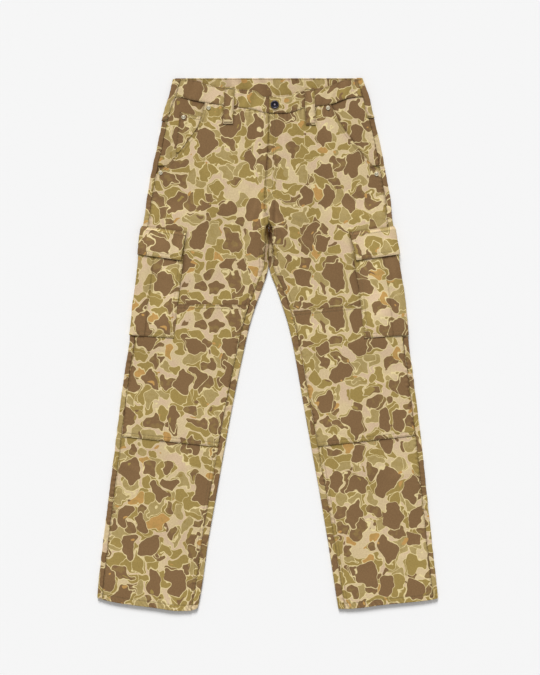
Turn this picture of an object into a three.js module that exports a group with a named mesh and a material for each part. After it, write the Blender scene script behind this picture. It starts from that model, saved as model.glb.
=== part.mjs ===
import * as THREE from "three";

// Cargo pants laid flat with the front up, in millimetres.
// +Z is up, +Y points to the waist, and left and right are the viewer's left (-X) and right (+X).
// The origin is the middle of the garment's box, on the surface that it lies on.

// Cloth walls
const PANEL_WALL = 1.4;
const BAND_WALL = 2.4;
const PATCH_WALL = 1.2;
const LOOP_WALL = 1.5;
const HEM_WALL = 2.2;

// Clearances: between sewn edges, and between a piece and what it lies on
const SEAM = 0.3;
const LAY = 0.5;

// Heights along the garment
const WAIST_TOP = 533;
const WAIST_SEAM = 494;
const FRONT_CROTCH = 246;
const LEGS_MEET = 200;
const LEGS_PART = 150;
const HEM_LINE = -507;
const HEM_DEPTH = 24;

// Where the back panels end on the front, in from the garment's own edges
const SIDE_SEAM_IN = 10;
const INSEAM_IN = 13;
const CROTCH_GAPE = 2;

// The rolled edges' radius at the waistband, and the rise of the cloth between two edges
const BAND_RADIUS = 3.3;
const CROWN_RUN = 60;

// Cargo pockets: how far each reaches from the garment's side edge, before and behind
const POCKET_REACH = 90;
const POCKET_TOP = 226;
const POCKET_BOTTOM = 19;
const POCKET_TILT = 0.14;
const POCKET_BOTTOM_TILT = 0.07;
const POCKET_WALL = 1.35;
const POCKET_PUFF = 1.6;
const POCKET_HEM = 6;
const PLEAT_HALF = 29;
const PLEAT_RISE = 0.9;
const FLAP_TOP = 237;
const FLAP_BOTTOM = 180;
const FLAP_WALL = 1.4;
const FLAP_REACH = 91;
const FLAP_CORNER_IN = 5;
const FLAP_LIFT = 1.0;
const FLAP_LAY = 0.6;

// The cloth under a cargo pocket rises by the layers that lie below it
const BODY_RISE = LAY + POCKET_WALL;
const FLAP_RISE = FLAP_LAY + FLAP_WALL;
const RISE_REACH = 100;
const RISE_RUN = 50;

// Edges of the garment seen from above, a row for each height; the inner ones are the legs' inside edges
const OUTLINE = [
  { y: 533, leftOut: -187.6, leftIn: 2, rightIn: 2.6, rightOut: 187.4 },
  { y: 501, leftOut: -195.2, leftIn: 2, rightIn: 2.6, rightOut: 199.4 },
  { y: 469, leftOut: -205.6, leftIn: 2, rightIn: 2.6, rightOut: 207.4 },
  { y: 405, leftOut: -219.6, leftIn: 2, rightIn: 2.6, rightOut: 224.4 },
  { y: 341, leftOut: -233.6, leftIn: 2, rightIn: 2.6, rightOut: 236.4 },
  { y: 277, leftOut: -245.6, leftIn: 2, rightIn: 2.6, rightOut: 248.4 },
  { y: 246, leftOut: -252.4, leftIn: 2, rightIn: 2.6, rightOut: 253.6 },
  { y: 229, leftOut: -255.6, leftIn: -0.6, rightIn: 5.2, rightOut: 256.4 },
  { y: 200, leftOut: -259.4, leftIn: 0.6, rightIn: 3.0, rightOut: 261.4 },
  { y: 181, leftOut: -261.0, leftIn: 1.0, rightIn: 2.4, rightOut: 264.4 },
  { y: 149, leftOut: -263.6, leftIn: -0.4, rightIn: 4.0, rightOut: 267.4 },
  { y: 117, leftOut: -266.4, leftIn: -9.6, rightIn: 15.4, rightOut: 272.0 },
  { y: 85, leftOut: -270.4, leftIn: -21.6, rightIn: 26.4, rightOut: 275.8 },
  { y: 37, leftOut: -275.4, leftIn: -36.6, rightIn: 41.4, rightOut: 280.6 },
  { y: -11, leftOut: -280.6, leftIn: -47.6, rightIn: 52.0, rightOut: 285.0 },
  { y: -107, leftOut: -293.6, leftIn: -67.6, rightIn: 69.0, rightOut: 296.4 },
  { y: -203, leftOut: -305.6, leftIn: -85.6, rightIn: 86.4, rightOut: 308.4 },
  { y: -299, leftOut: -317.6, leftIn: -102.4, rightIn: 104.0, rightOut: 318.4 },
  { y: -395, leftOut: -329.6, leftIn: -119.6, rightIn: 120.4, rightOut: 328.4 },
  { y: -459, leftOut: -337.0, leftIn: -130.2, rightIn: 132.4, rightOut: 335.8 },
  { y: -513, leftOut: -341.6, leftIn: -141.6, rightIn: 142.4, rightOut: 341.6 },
];

// The front waistband's two edges; behind, both edges are straight
const BAND_EDGES = [
  { x: -190, top: 530, bottom: 494 },
  { x: -178, top: 530, bottom: 493.8 },
  { x: -150, top: 529, bottom: 488 },
  { x: -110, top: 517, bottom: 481 },
  { x: -60, top: 511, bottom: 474 },
  { x: -26, top: 508, bottom: 469 },
  { x: -6, top: 495, bottom: 463 },
  { x: 18, top: 497, bottom: 462 },
  { x: 44, top: 500, bottom: 463 },
  { x: 72, top: 507, bottom: 472 },
  { x: 126, top: 518, bottom: 480 },
  { x: 158, top: 529, bottom: 491 },
  { x: 180, top: 530, bottom: 494 },
  { x: 190, top: 531, bottom: 494.2 },
];

// The slash pocket openings' edges on the front panels
const SLASH = [
  { y: 494, left: -125.6, right: 126.4 },
  { y: 445, left: -138.5, right: 147 },
  { y: 405, left: -163, right: 172 },
  { y: 377, left: -183, right: 193 },
  { y: 355, left: -207, right: 213 },
  { y: 342, left: -223.4, right: 226.2 },
];
const SLASH_FOOT = 342;
const FACING_FOOT = 356;
const FACING_LAP = 10;

// The fly's edge, which the seam below it goes on from
const FLY = [
  { y: 494, x: 2.4 },
  { y: 420, x: 1.6 },
  { y: 340, x: -3.4 },
  { y: 290, x: -6.2 },
  { y: 272, x: -6.6 },
  { y: 258, x: -2.4 },
  { y: 246, x: 2.3 },
];
const FLY_FOOT = 290;
const FLY_LAP = 14;
const FLY_RISE_RUN = 26;

// How far the hems reach below their straight line, from the outer edge (0) to the inner (1)
const HEM_DROP = [
  { at: 0, left: 0, right: 0 },
  { at: 0.12, left: 6.8, right: 4.4 },
  { at: 0.36, left: 14.6, right: 9.2 },
  { at: 0.55, left: 19.4, right: 13.0 },
  { at: 0.81, left: 26.0, right: 19.6 },
  { at: 0.91, left: 26.0, right: 21.0 },
  { at: 1, left: 21.0, right: 20.6 },
];
const HEM_START = { left: -507, right: -508 };
const HEM_BOW_RUN = 130;

// Radius of the rolled edges and rise of the cloth between them
const BODY = [
  { y: 534, radius: 3.1, crown: 0.5 },
  { y: 494, radius: 3.0, crown: 0.5 },
  { y: 400, radius: 2.7, crown: 0.9 },
  { y: 300, radius: 2.4, crown: 1.2 },
  { y: 180, radius: 2.2, crown: 1.3 },
  { y: -20, radius: 2.2, crown: 1.5 },
  { y: -240, radius: 2.2, crown: 1.4 },
  { y: -440, radius: 2.3, crown: 1.2 },
  { y: -480, radius: 3.0, crown: 0.7 },
  { y: -540, radius: 3.0, crown: 0.7 },
];

// The largest soft folds of the front: a ridge from one end to the other, with its height and half width
const FOLDS = [
  { x0: -24, y0: 232, x1: -120, y1: 286, height: 0.9, half: 24 },
  { x0: 26, y0: 236, x1: 118, y1: 300, height: 0.9, half: 24 },
  { x0: -60, y0: 170, x1: -150, y1: 130, height: 0.7, half: 26 },
  { x0: 62, y0: 160, x1: 150, y1: 122, height: 0.7, half: 26 },
  { x0: -130, y0: -240, x1: -250, y1: -268, height: 0.8, half: 26 },
  { x0: 128, y0: -236, x1: 262, y1: -262, height: 0.8, half: 26 },
  { x0: -190, y0: -330, x1: -215, y1: -450, height: 0.7, half: 28 },
  { x0: 196, y0: -320, x1: 226, y1: -448, height: 0.7, half: 28 },
  { x0: -52, y0: 430, x1: -70, y1: 330, height: 0.6, half: 24 },
  { x0: 62, y0: 430, x1: 80, y1: 320, height: 0.6, half: 24 },
];

// Knee patches: heights of their edges at the side seam and at the inseam
const PATCHES = {
  left: { topOut: 82, topIn: 79, bottomOut: -184, bottomIn: -205 },
  right: { topOut: 88, topIn: 66, bottomOut: -182, bottomIn: -204 },
};
const PATCH_IN = 1;

// Belt loops on the front of the waistband
const LOOP_WIDTH = 20;
const LOOP_LENGTH = 74;
const FRONT_LOOPS = {
  left: { x: -76, top: 515, lean: -4 },
  right: { x: 83, top: 513, lean: 3 },
};
const SIDE_LOOPS = {
  left: { top: 531, bottom: 447, inAtTop: 16, inAtBottom: 11 },
  right: { top: 533, bottom: 453, inAtTop: 12, inAtBottom: 14 },
};

// Coin pocket on the left facing
const COIN = { top: 465, foot: 384, outerTop: -176, outerFoot: -184, clear: 1 };

// Hard pieces
const RIVET_RADIUS = 4.3;
const RIVET_HEIGHT = 1.5;
const RIVETS = [
  { name: "rivet_waist_left", side: "left", x: -118.5, y: 473.5, over: 0 },
  { name: "rivet_coin_left", side: "left", x: -168.5, y: 454.5, over: PATCH_WALL + LAY - 1.1 },
  { name: "rivet_side_left", side: "left", x: -214.5, y: 343.5, over: 0 },
  { name: "rivet_waist_right", side: "right", x: 120.5, y: 473, over: 0 },
  { name: "rivet_side_right", side: "right", x: 217.5, y: 341, over: 0 },
];
const BUTTON_RADIUS = 8.4;
const BUTTON_HEIGHT = 3.4;
const BUTTON_PLACE = { x: 13.8, y: 479 };

// Rows of the long panels, closer where the shape changes
const PANEL_ROWS = [
  494, 468, 443, 419, 397, 377, 358, 342, 318, 296, 276, 260, 246, 234, 222, 210, 200, 181, 162,
  146, 128, 108, 85, 58, 30, 5, -22, -50, -85, -125, -165, -203, -240, -290, -340, -390, -435, -466,
  -482, -486, HEM_LINE,
];
const FRONT_COLUMNS = [0, 0.05, 0.14, 0.25, 0.37, 0.5, 0.63, 0.75, 0.86, 0.95, 1];

const SIDES = { left: -1, right: 1 };

const clamp = (v, low, high) => Math.min(high, Math.max(low, v));
const mix = (a, b, t) => a + (b - a) * t;
function smooth(from, to, v) {
  const t = clamp((v - from) / (to - from), 0, 1);
  return t * t * (3 - 2 * t);
}

// A smooth curve through one column of a table, over another column; it never overshoots the rows.
function curve(table, over, column) {
  const rows = [...table].sort((a, b) => a[over] - b[over]);
  const slope = (i) => (rows[i + 1][column] - rows[i][column]) / (rows[i + 1][over] - rows[i][over]);
  const tangent = (i) => {
    if (i === 0 || i === rows.length - 1) return 0;
    const [before, after] = [slope(i - 1), slope(i)];
    return before * after <= 0 ? 0 : (2 * before * after) / (before + after);
  };
  const ends = (i) => (i === 0 ? slope(0) : i === rows.length - 1 ? slope(i - 1) : tangent(i));
  return (v) => {
    const at = clamp(v, rows[0][over], rows[rows.length - 1][over]);
    let i = 0;
    while (i < rows.length - 2 && at > rows[i + 1][over]) i++;
    const span = rows[i + 1][over] - rows[i][over];
    const t = (at - rows[i][over]) / span;
    const [a, b] = [rows[i][column], rows[i + 1][column]];
    const [p, q] = [ends(i) * span, ends(i + 1) * span];
    return a + t * (p + t * (3 * (b - a) - 2 * p - q + t * (p + q - 2 * (b - a))));
  };
}

const edge = {
  left: { out: curve(OUTLINE, "y", "leftOut"), in: curve(OUTLINE, "y", "leftIn") },
  right: { out: curve(OUTLINE, "y", "rightOut"), in: curve(OUTLINE, "y", "rightIn") },
};
const bandTop = curve(BAND_EDGES, "x", "top");
const bandBottom = curve(BAND_EDGES, "x", "bottom");
const slashEdge = { left: curve(SLASH, "y", "left"), right: curve(SLASH, "y", "right") };
const flyEdge = curve(FLY, "y", "x");
const hemDrop = { left: curve(HEM_DROP, "at", "left"), right: curve(HEM_DROP, "at", "right") };
const rollRadius = curve(BODY, "y", "radius");
const crownRise = curve(BODY, "y", "crown");

// How far the cloth is raised at the side edge by the pocket layers under it.
function edgeRise(y) {
  const body = smooth(-52, 8, y) * (1 - smooth(252, 294, y));
  const flap = smooth(100, 160, y) * (1 - smooth(252, 294, y));
  return BODY_RISE * body + FLAP_RISE * flap;
}

// The cloth's own side edge, in from the outline by what lies over it there.
const clothEdge = (side, y) => edge[side].out(y) - SIDES[side] * edgeRise(y);
const fromEdge = (side, x, y) => SIDES[side] * (clothEdge(side, y) - x);
const fromInside = (side, x, y) => SIDES[side] * (x - edge[side].in(y));

// Height of the cloth's lower face.
const underside = (side, x, y) =>
  edgeRise(y) * (1 - smooth(RISE_REACH, RISE_REACH + RISE_RUN, fromEdge(side, x, y)));

function foldRise(x, y) {
  let rise = 0;
  for (const f of FOLDS) {
    const [dx, dy] = [f.x1 - f.x0, f.y1 - f.y0];
    const along = ((x - f.x0) * dx + (y - f.y0) * dy) / (dx * dx + dy * dy);
    const t = clamp(along, 0, 1);
    const away = Math.hypot(x - f.x0 - t * dx, y - f.y0 - t * dy);
    rise += f.height * (1 - smooth(0, f.half, away)) * (1 - 0.4 * Math.abs(2 * t - 1));
  }
  return rise;
}

// Height of the front's upper face, lens shaped over each leg and over the hips as one.
function topFace(side, x, y) {
  const legs = 1 - smooth(LEGS_MEET, FRONT_CROTCH + 30, y);
  const outer = smooth(2, CROWN_RUN, fromEdge(side, x, y));
  const inner = mix(1, smooth(2, CROWN_RUN, fromInside(side, x, y)), legs);
  const lens = outer * inner;
  return underside(side, x, y) + 2 * rollRadius(y) + (crownRise(y) + foldRise(x, y)) * lens;
}

// Rows follow the front's waist seam at the top and the hem's bow at the bottom.
function rowHeight(side, x, row, isFront = true) {
  const waist = isFront ? smooth(300, WAIST_SEAM, row) * (bandBottom(x) - WAIST_SEAM) : 0;
  const across = clamp((x - edge[side].out(row)) / (edge[side].in(row) - edge[side].out(row)), 0, 1);
  const hem = smooth(HEM_LINE + HEM_BOW_RUN, HEM_LINE, row) * hemDrop[side](across);
  const start = smooth(HEM_LINE + HEM_BOW_RUN, HEM_LINE, row) * (HEM_LINE - HEM_START[side]);
  return row + waist - hem - start;
}

// The hem's turned-in cloth makes the wall thicker along the panels' ends.
const HEM_STEP = 3;
const hemEnd = (row) => 1 - smooth(HEM_LINE + HEM_DEPTH - HEM_STEP, HEM_LINE + HEM_DEPTH, row);
const panelWall = (row) => mix(PANEL_WALL, HEM_WALL, hemEnd(row));

// A closed wall between two grids of points that have the same rows and columns.
function wall(name, material, rows, columns, outerPoint, innerPoint) {
  const points = [];
  for (const point of [outerPoint, innerPoint])
    for (let i = 0; i < rows; i++) for (let j = 0; j < columns; j++) points.push(...point(i, j));
  const at = (layer, i, j) => (layer * rows + i) * columns + j;
  const faces = [];
  const quad = (a, b, c, d) => faces.push(a, b, c, a, c, d);
  for (let i = 0; i < rows - 1; i++)
    for (let j = 0; j < columns - 1; j++) {
      quad(at(0, i, j), at(0, i + 1, j), at(0, i + 1, j + 1), at(0, i, j + 1));
      quad(at(1, i, j), at(1, i, j + 1), at(1, i + 1, j + 1), at(1, i + 1, j));
    }
  for (let i = 0; i < rows - 1; i++) {
    quad(at(0, i, 0), at(1, i, 0), at(1, i + 1, 0), at(0, i + 1, 0));
    quad(at(0, i, columns - 1), at(0, i + 1, columns - 1), at(1, i + 1, columns - 1), at(1, i, columns - 1));
  }
  for (let j = 0; j < columns - 1; j++) {
    quad(at(0, 0, j), at(0, 0, j + 1), at(1, 0, j + 1), at(1, 0, j));
    quad(at(0, rows - 1, j), at(1, rows - 1, j), at(1, rows - 1, j + 1), at(0, rows - 1, j + 1));
  }
  return facingOut(name, material, points, faces);
}

// A mesh from points and faces, turned round if its faces point inwards.
function facingOut(name, material, points, faces) {
  const corner = (k) => new THREE.Vector3().fromArray(points, 3 * k);
  let volume = 0;
  for (let k = 0; k < faces.length; k += 3) {
    const [a, b, c] = [corner(faces[k]), corner(faces[k + 1]), corner(faces[k + 2])];
    volume += a.dot(b.cross(c));
  }
  if (volume < 0)
    for (let k = 0; k < faces.length; k += 3) [faces[k], faces[k + 1]] = [faces[k + 1], faces[k]];
  const geometry = new THREE.BufferGeometry();
  geometry.setAttribute("position", new THREE.Float32BufferAttribute(points, 3));
  geometry.setIndex(faces);
  geometry.computeVertexNormals();
  const mesh = new THREE.Mesh(geometry, material);
  mesh.name = name;
  return mesh;
}

const cloth = (color) => new THREE.MeshStandardMaterial({ color, roughness: 0.9, metalness: 0 });
const MATERIALS = {
  panel: cloth(0xb9a878),
  trim: cloth(0xa8965f),
  inside: cloth(0x9a8b5e),
  rivet: new THREE.MeshStandardMaterial({ color: 0xc9c8c2, roughness: 0.35, metalness: 1 }),
  button: new THREE.MeshStandardMaterial({ color: 0x1d2130, roughness: 0.3, metalness: 0.6 }),
};

const pants = new THREE.Group();

// Front panels: from the side seam or the pocket opening to the centre or the inseam.
function frontEdges(side, row) {
  const seam = clothEdge(side, row) - SIDES[side] * (SIDE_SEAM_IN + SEAM);
  const outer = row > SLASH_FOOT ? slashEdge[side](row) : seam;
  const lap = side === "left" ? FLY_LAP * smooth(FLY_FOOT + 6, FLY_FOOT + 40, row) : 0;
  const centre = flyEdge(row) + (SIDES[side] * SEAM) / 2 + lap;
  const inside = edge[side].in(row) + SIDES[side] * insideWrap(row);
  return { outer, inner: row >= FRONT_CROTCH ? centre : inside };
}

// How far the back panel turns onto the front over the leg's inside edge, seen from above.
function insideWrap(row) {
  const opened = (1 - smooth(FRONT_CROTCH - 14, FRONT_CROTCH, row)) * smooth(LEGS_PART, LEGS_MEET, row);
  const seam = mix(INSEAM_IN + SEAM, SEAM / 2, smooth(100, FRONT_CROTCH, row));
  return seam + CROTCH_GAPE * opened;
}

// The right front is raised where it laps over the left one at the fly.
function flyRise(side, x, row) {
  if (side === "left") return 0;
  const past = x - flyEdge(row) - FLY_LAP;
  return (PANEL_WALL + LAY) * smooth(FLY_FOOT - 36, FLY_FOOT - 16, row) * (1 - smooth(2, FLY_RISE_RUN, past));
}

function frontPoint(side, row, column, depth) {
  const { outer, inner } = frontEdges(side, row);
  const x = mix(outer, inner, column);
  const y = rowHeight(side, x, row);
  return [x, y, topFace(side, x, y) + flyRise(side, x, row) - depth];
}

for (const side of ["left", "right"])
  pants.add(
    wall(
      `front_${side}`,
      MATERIALS.panel,
      PANEL_ROWS.length,
      FRONT_COLUMNS.length,
      (i, j) => frontPoint(side, PANEL_ROWS[i], FRONT_COLUMNS[j], 0),
      (i, j) => frontPoint(side, PANEL_ROWS[i], FRONT_COLUMNS[j], panelWall(PANEL_ROWS[i])),
    ),
  );

// Back panels: round the side edge, along the underside, and below the crotch round the inside edge too.
const ROLL_STEPS = 4;

// The back panel's end: flat at the centre seam, and curled up over the leg's inside edge below the crotch.
function insideCurl(side, row, radius) {
  const curled = 1 - smooth(LEGS_MEET, FRONT_CROTCH + 4, row);
  const arc = mix(radius, Math.PI * radius, curled);
  const curl = [];
  for (let k = 1; k <= ROLL_STEPS; k++) {
    const length = (arc * k) / ROLL_STEPS;
    const angle = (length * curled) / radius;
    const reach = curled > 0 ? (radius / curled) * Math.sin(angle) : length;
    const rise = curled > 0 ? (radius / curled) * (1 - Math.cos(angle)) : 0;
    curl.push({ reach, rise, angle });
  }
  const last = curl[ROLL_STEPS - 1];
  const flat = mix(0.6, Math.max(0.6, insideWrap(row) - radius - SEAM), smooth(0.85, 1, curled));
  const reach = last.reach + flat * Math.cos(last.angle);
  const rise = last.rise + flat * Math.sin(last.angle);
  curl.push({ reach, rise, angle: last.angle });
  return curl;
}

function backSection(side, row) {
  const inward = -SIDES[side];
  const radius = rollRadius(row);
  const start = clothEdge(side, row);
  const base = edgeRise(row);
  const section = [];
  const put = (x, z, nx, nz) => section.push({ x, z, nx, nz });
  const seamX = start + inward * SIDE_SEAM_IN;
  put(seamX, topFace(side, seamX, row), 0, 1);
  for (let k = 0; k <= ROLL_STEPS; k++) {
    const a = Math.PI / 2 - (Math.PI * k) / ROLL_STEPS;
    const [across, up] = [Math.cos(a), Math.sin(a)];
    put(start + inward * radius * (1 - across), base + radius * (1 + up), -inward * across, up);
  }
  const curl = insideCurl(side, row, radius);
  const furthest = Math.max(...curl.map((p) => p.reach));
  const bend = edge[side].in(row) - inward * (SEAM / 2 + furthest);
  const risen = [0, 0.5, 1].map((t) => start + inward * (RISE_REACH + t * RISE_RUN));
  for (const x of [...risen, bend]) put(x, underside(side, x, row), 0, -1);
  for (const p of curl) put(bend + inward * p.reach, p.rise, inward * Math.sin(p.angle), -Math.cos(p.angle));
  return section;
}

for (const side of ["left", "right"]) {
  const sections = PANEL_ROWS.map((row) => backSection(side, row));
  const point = (i, j, depth) => {
    const p = sections[i][j];
    return [p.x - p.nx * depth, rowHeight(side, p.x, PANEL_ROWS[i], false), Math.max(0, p.z - p.nz * depth)];
  };
  pants.add(
    wall(
      `back_${side}`,
      MATERIALS.panel,
      PANEL_ROWS.length,
      sections[0].length,
      (i, j) => point(i, j, 0),
      (i, j) => point(i, j, panelWall(PANEL_ROWS[i])),
    ),
  );
}

// Waistband: one strip from under the lap, round behind, to the lap's end on the right.
const BACK_BAND_STEPS = 4;

function bandRise(side, x) {
  if (side === "left") return 0;
  return (BAND_WALL + LAY) * (1 - smooth(FLY_LAP + 6, FLY_LAP + 36, x));
}

function bandFace(side, x, y) {
  const lens = smooth(2, CROWN_RUN, SIDES[side] * (edge[side].out(y) - x));
  return 2 * BAND_RADIUS + 0.5 * lens + bandRise(side, x);
}

// The band's places along one half of the front, from the side edge to its end, on the panels' own columns.
function frontBandStations(side) {
  const inward = -SIDES[side];
  const out = edge[side].out(WAIST_SEAM);
  const { outer, inner } = frontEdges(side, WAIST_SEAM);
  const seam = out + inward * (SIDE_SEAM_IN + SEAM);
  const xs = [out + inward * BAND_RADIUS, seam];
  for (const f of FACING_COLUMNS.slice(1, -1)) xs.push(mix(seam, outer, f));
  for (const c of FRONT_COLUMNS) xs.push(mix(outer, inner, c));
  return xs.map((x) => {
    const lean = 1 - smooth(0, Math.abs(outer - out), Math.abs(x - out));
    const across = [bandBottom(x) + SEAM, bandTop(x)];
    return (up, depth) => {
      const y = mix(across[0], across[1], up);
      const shifted = x + lean * (edge[side].out(y) - out);
      return [shifted, y, bandFace(side, shifted, y) - depth];
    };
  });
}

function bandRollStations(side) {
  const inward = -SIDES[side];
  const out = edge[side].out(WAIST_SEAM);
  const stations = [];
  for (let k = 1; k < ROLL_STEPS; k++) {
    const a = Math.PI / 2 - (Math.PI * k) / ROLL_STEPS;
    const t = k / ROLL_STEPS;
    const bottom = mix(bandBottom(out) + SEAM, WAIST_SEAM + SEAM, t);
    const top = mix(bandTop(out), WAIST_TOP, t);
    stations.push((up, depth) => {
      const y = mix(bottom, top, up);
      const radius = BAND_RADIUS - depth;
      const x = edge[side].out(y) + inward * (BAND_RADIUS - radius * Math.cos(a));
      return [x, y, BAND_RADIUS + radius * Math.sin(a)];
    });
  }
  return stations;
}

function backBandStations() {
  const stations = [];
  for (let k = 0; k <= BACK_BAND_STEPS; k++)
    stations.push((up, depth) => {
      const y = mix(WAIST_SEAM + SEAM, WAIST_TOP, up);
      const x = mix(edge.left.out(y) + BAND_RADIUS, edge.right.out(y) - BAND_RADIUS, k / BACK_BAND_STEPS);
      return [x, y, depth];
    });
  return stations;
}

// Pocket facings: one layer lower than the front panel that laps over them, level with it at the side seam.
const FACING_COLUMNS = [0, 0.35, 0.7, 1];
const FACING_ROWS = PANEL_ROWS.filter((row) => row > FACING_FOOT);

function facingX(side, row, across) {
  const seam = clothEdge(side, row) - SIDES[side] * (SIDE_SEAM_IN + SEAM);
  return mix(seam, slashEdge[side](row), across);
}

function facingTop(side, x, row) {
  const seam = facingX(side, row, 0);
  const across = (x - seam) / (slashEdge[side](row) - seam);
  return topFace(side, x, rowHeight(side, x, row)) - (PANEL_WALL + LAY) * smooth(0, 0.85, across);
}

function facingPoint(side, row, column, depth) {
  const lapped = column >= FACING_COLUMNS.length;
  const across = lapped ? 1 : FACING_COLUMNS[column];
  const x = facingX(side, row, across) - SIDES[side] * (lapped ? FACING_LAP : 0);
  return [x, rowHeight(side, x, row), facingTop(side, x, row) - depth];
}

{
  const stations = [
    ...frontBandStations("left").reverse(),
    ...bandRollStations("left"),
    ...backBandStations(),
    ...bandRollStations("right").reverse(),
    ...frontBandStations("right"),
  ];
  const ups = [0, 0.5, 1];
  pants.add(
    wall(
      "waistband",
      MATERIALS.trim,
      stations.length,
      ups.length,
      (i, j) => stations[i](ups[j], 0),
      (i, j) => stations[i](ups[j], BAND_WALL),
    ),
  );
}

for (const side of ["left", "right"])
  pants.add(
    wall(
      `pocket_facing_${side}`,
      MATERIALS.inside,
      FACING_ROWS.length,
      FACING_COLUMNS.length + 1,
      (i, j) => facingPoint(side, FACING_ROWS[i], j, 0),
      (i, j) => facingPoint(side, FACING_ROWS[i], j, PANEL_WALL),
    ),
  );

// Coin pocket on the left facing, up to the slash opening's edge.
const COIN_ROWS = [COIN.top, ...FACING_ROWS.filter((row) => row < COIN.top && row > COIN.foot), COIN.foot];
const COIN_COLUMNS = [0, 0.5, 1];

function coinPoint(row, across, lift) {
  const outer = mix(COIN.outerFoot, COIN.outerTop, (row - COIN.foot) / (COIN.top - COIN.foot));
  const x = mix(outer, slashEdge.left(row) - COIN.clear, across);
  return [x, rowHeight("left", x, row), facingTop("left", x, row) + lift];
}

pants.add(
  wall(
    "coin_pocket",
    MATERIALS.trim,
    COIN_ROWS.length,
    COIN_COLUMNS.length,
    (i, j) => coinPoint(COIN_ROWS[i], COIN_COLUMNS[j], LAY + PATCH_WALL),
    (i, j) => coinPoint(COIN_ROWS[i], COIN_COLUMNS[j], LAY),
  ),
);

// Knee patches, on the front panels' own columns and rows.
function patchPoint(side, i, column, lift) {
  const shape = PATCHES[side];
  const inner = PATCH_ROWS[i];
  const row =
    inner === "top" ? mix(shape.topOut, shape.topIn, column)
    : inner === "bottom" ? mix(shape.bottomOut, shape.bottomIn, column)
    : inner;
  const { outer, inner: inside } = frontEdges(side, row);
  const inset = column === 0 ? -SIDES[side] * PATCH_IN : column === 1 ? SIDES[side] * PATCH_IN : 0;
  const x = mix(outer, inside, column) + inset;
  return [x, row, topFace(side, x, row) + lift];
}

const PATCH_ROWS = ["top", ...PANEL_ROWS.filter((row) => row < 60 && row > -180), "bottom"];

for (const side of ["left", "right"])
  pants.add(
    wall(
      `knee_patch_${side}`,
      MATERIALS.panel,
      PATCH_ROWS.length,
      FRONT_COLUMNS.length,
      (i, j) => patchPoint(side, i, FRONT_COLUMNS[j], LAY + PATCH_WALL),
      (i, j) => patchPoint(side, i, FRONT_COLUMNS[j], LAY),
    ),
  );

// A point over the leg's cloth: s runs over the front inwards from the side edge, and below zero underneath.
function overLeg(side, y, s, lift) {
  const inward = -SIDES[side];
  const radius = rollRadius(y);
  const quarter = (radius * Math.PI) / 2;
  const start = clothEdge(side, y);
  if (s > quarter) {
    const x = start + inward * (radius + s - quarter);
    return [x, y, topFace(side, x, y) + lift];
  }
  if (s < -quarter) {
    const x = start + inward * (radius - s - quarter);
    return [x, y, Math.max(0, underside(side, x, y) - lift)];
  }
  const a = s / radius;
  const x = start + inward * (radius - (radius + lift) * Math.cos(a));
  return [x, y, Math.max(0, edgeRise(y) + radius + (radius + lift) * Math.sin(a))];
}

// Cargo pocket bodies: turned-in edges, a puffed middle and a raised box pleat.
const ROLL_COLUMNS = [3.45, 1.7, 0, -1.7, -3.45];
const POCKET_ROWS = [
  POCKET_TOP, POCKET_TOP - POCKET_HEM, 196, 168, 144, 122, 106, 94, 80, 50, POCKET_BOTTOM + POCKET_HEM,
  POCKET_BOTTOM,
];
const POCKET_COLUMNS = [
  POCKET_REACH, POCKET_REACH - POCKET_HEM, 66, 48, PLEAT_HALF + 2, PLEAT_HALF - 1, 10, ...ROLL_COLUMNS, -45,
  -POCKET_REACH,
];

const pocketTilt = (row) => mix(POCKET_BOTTOM_TILT, POCKET_TILT, smooth(POCKET_BOTTOM, 120, row));
const onFront = (s) => smooth(3.4, 10, s);

function overPatch(side, y) {
  return (PATCH_WALL + LAY) * (1 - smooth(PATCHES[side].topOut + 12, PATCHES[side].topOut + 28, y));
}

function pocketOuter(side, s, y) {
  const puff = Math.max(POCKET_PUFF, overPatch(side, y) + 0.4);
  const pleat = PLEAT_RISE * (1 - smooth(PLEAT_HALF - 1, PLEAT_HALF + 2, s)) * smooth(0, 10, s);
  return LAY + POCKET_WALL + (puff - 0.5) * onFront(s) + pleat;
}

function pocketInner(side, s, y, isBorder) {
  const under = overPatch(side, y);
  const puff = isBorder ? under : Math.max(POCKET_PUFF - 0.5, under);
  return LAY + puff * onFront(s);
}

function pocketPoint(side, i, j, isOuter) {
  const s = POCKET_COLUMNS[j];
  const row = POCKET_ROWS[i];
  const y = row - pocketTilt(row) * s;
  const isBorder = i < 2 || i > POCKET_ROWS.length - 3 || j < 2;
  return overLeg(side, y, s, isOuter ? pocketOuter(side, s, y) : pocketInner(side, s, y, isBorder));
}

for (const side of ["left", "right"])
  pants.add(
    wall(
      `cargo_pocket_${side}`,
      MATERIALS.panel,
      POCKET_ROWS.length,
      POCKET_COLUMNS.length,
      (i, j) => pocketPoint(side, i, j, true),
      (i, j) => pocketPoint(side, i, j, false),
    ),
  );

// Pocket flaps: sewn to the leg above the pocket, over its top, a little lifted along their lower edge.
const FLAP_ROWS = [FLAP_TOP, FLAP_TOP - 6, 222, 204, 190, FLAP_BOTTOM];
const FLAP_COLUMNS = [FLAP_REACH, FLAP_REACH - 4, 66, 48, 30, 10, ...ROLL_COLUMNS, -45, -FLAP_REACH];

function flapPoint(side, i, j, depth) {
  const row = FLAP_ROWS[i];
  const down = (FLAP_TOP - row) / (FLAP_TOP - FLAP_BOTTOM);
  const s = FLAP_COLUMNS[j] * (1 - (down * FLAP_CORNER_IN) / FLAP_REACH);
  const y = row - POCKET_TILT * s;
  const sewn = smooth(FLAP_TOP - 7, FLAP_TOP, row);
  const over = pocketOuter(side, s, Math.max(y, 130)) + FLAP_LAY + FLAP_LIFT * onFront(s) * down * down;
  return overLeg(side, y, s, mix(over, LAY, sewn) + FLAP_WALL - depth);
}

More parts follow.
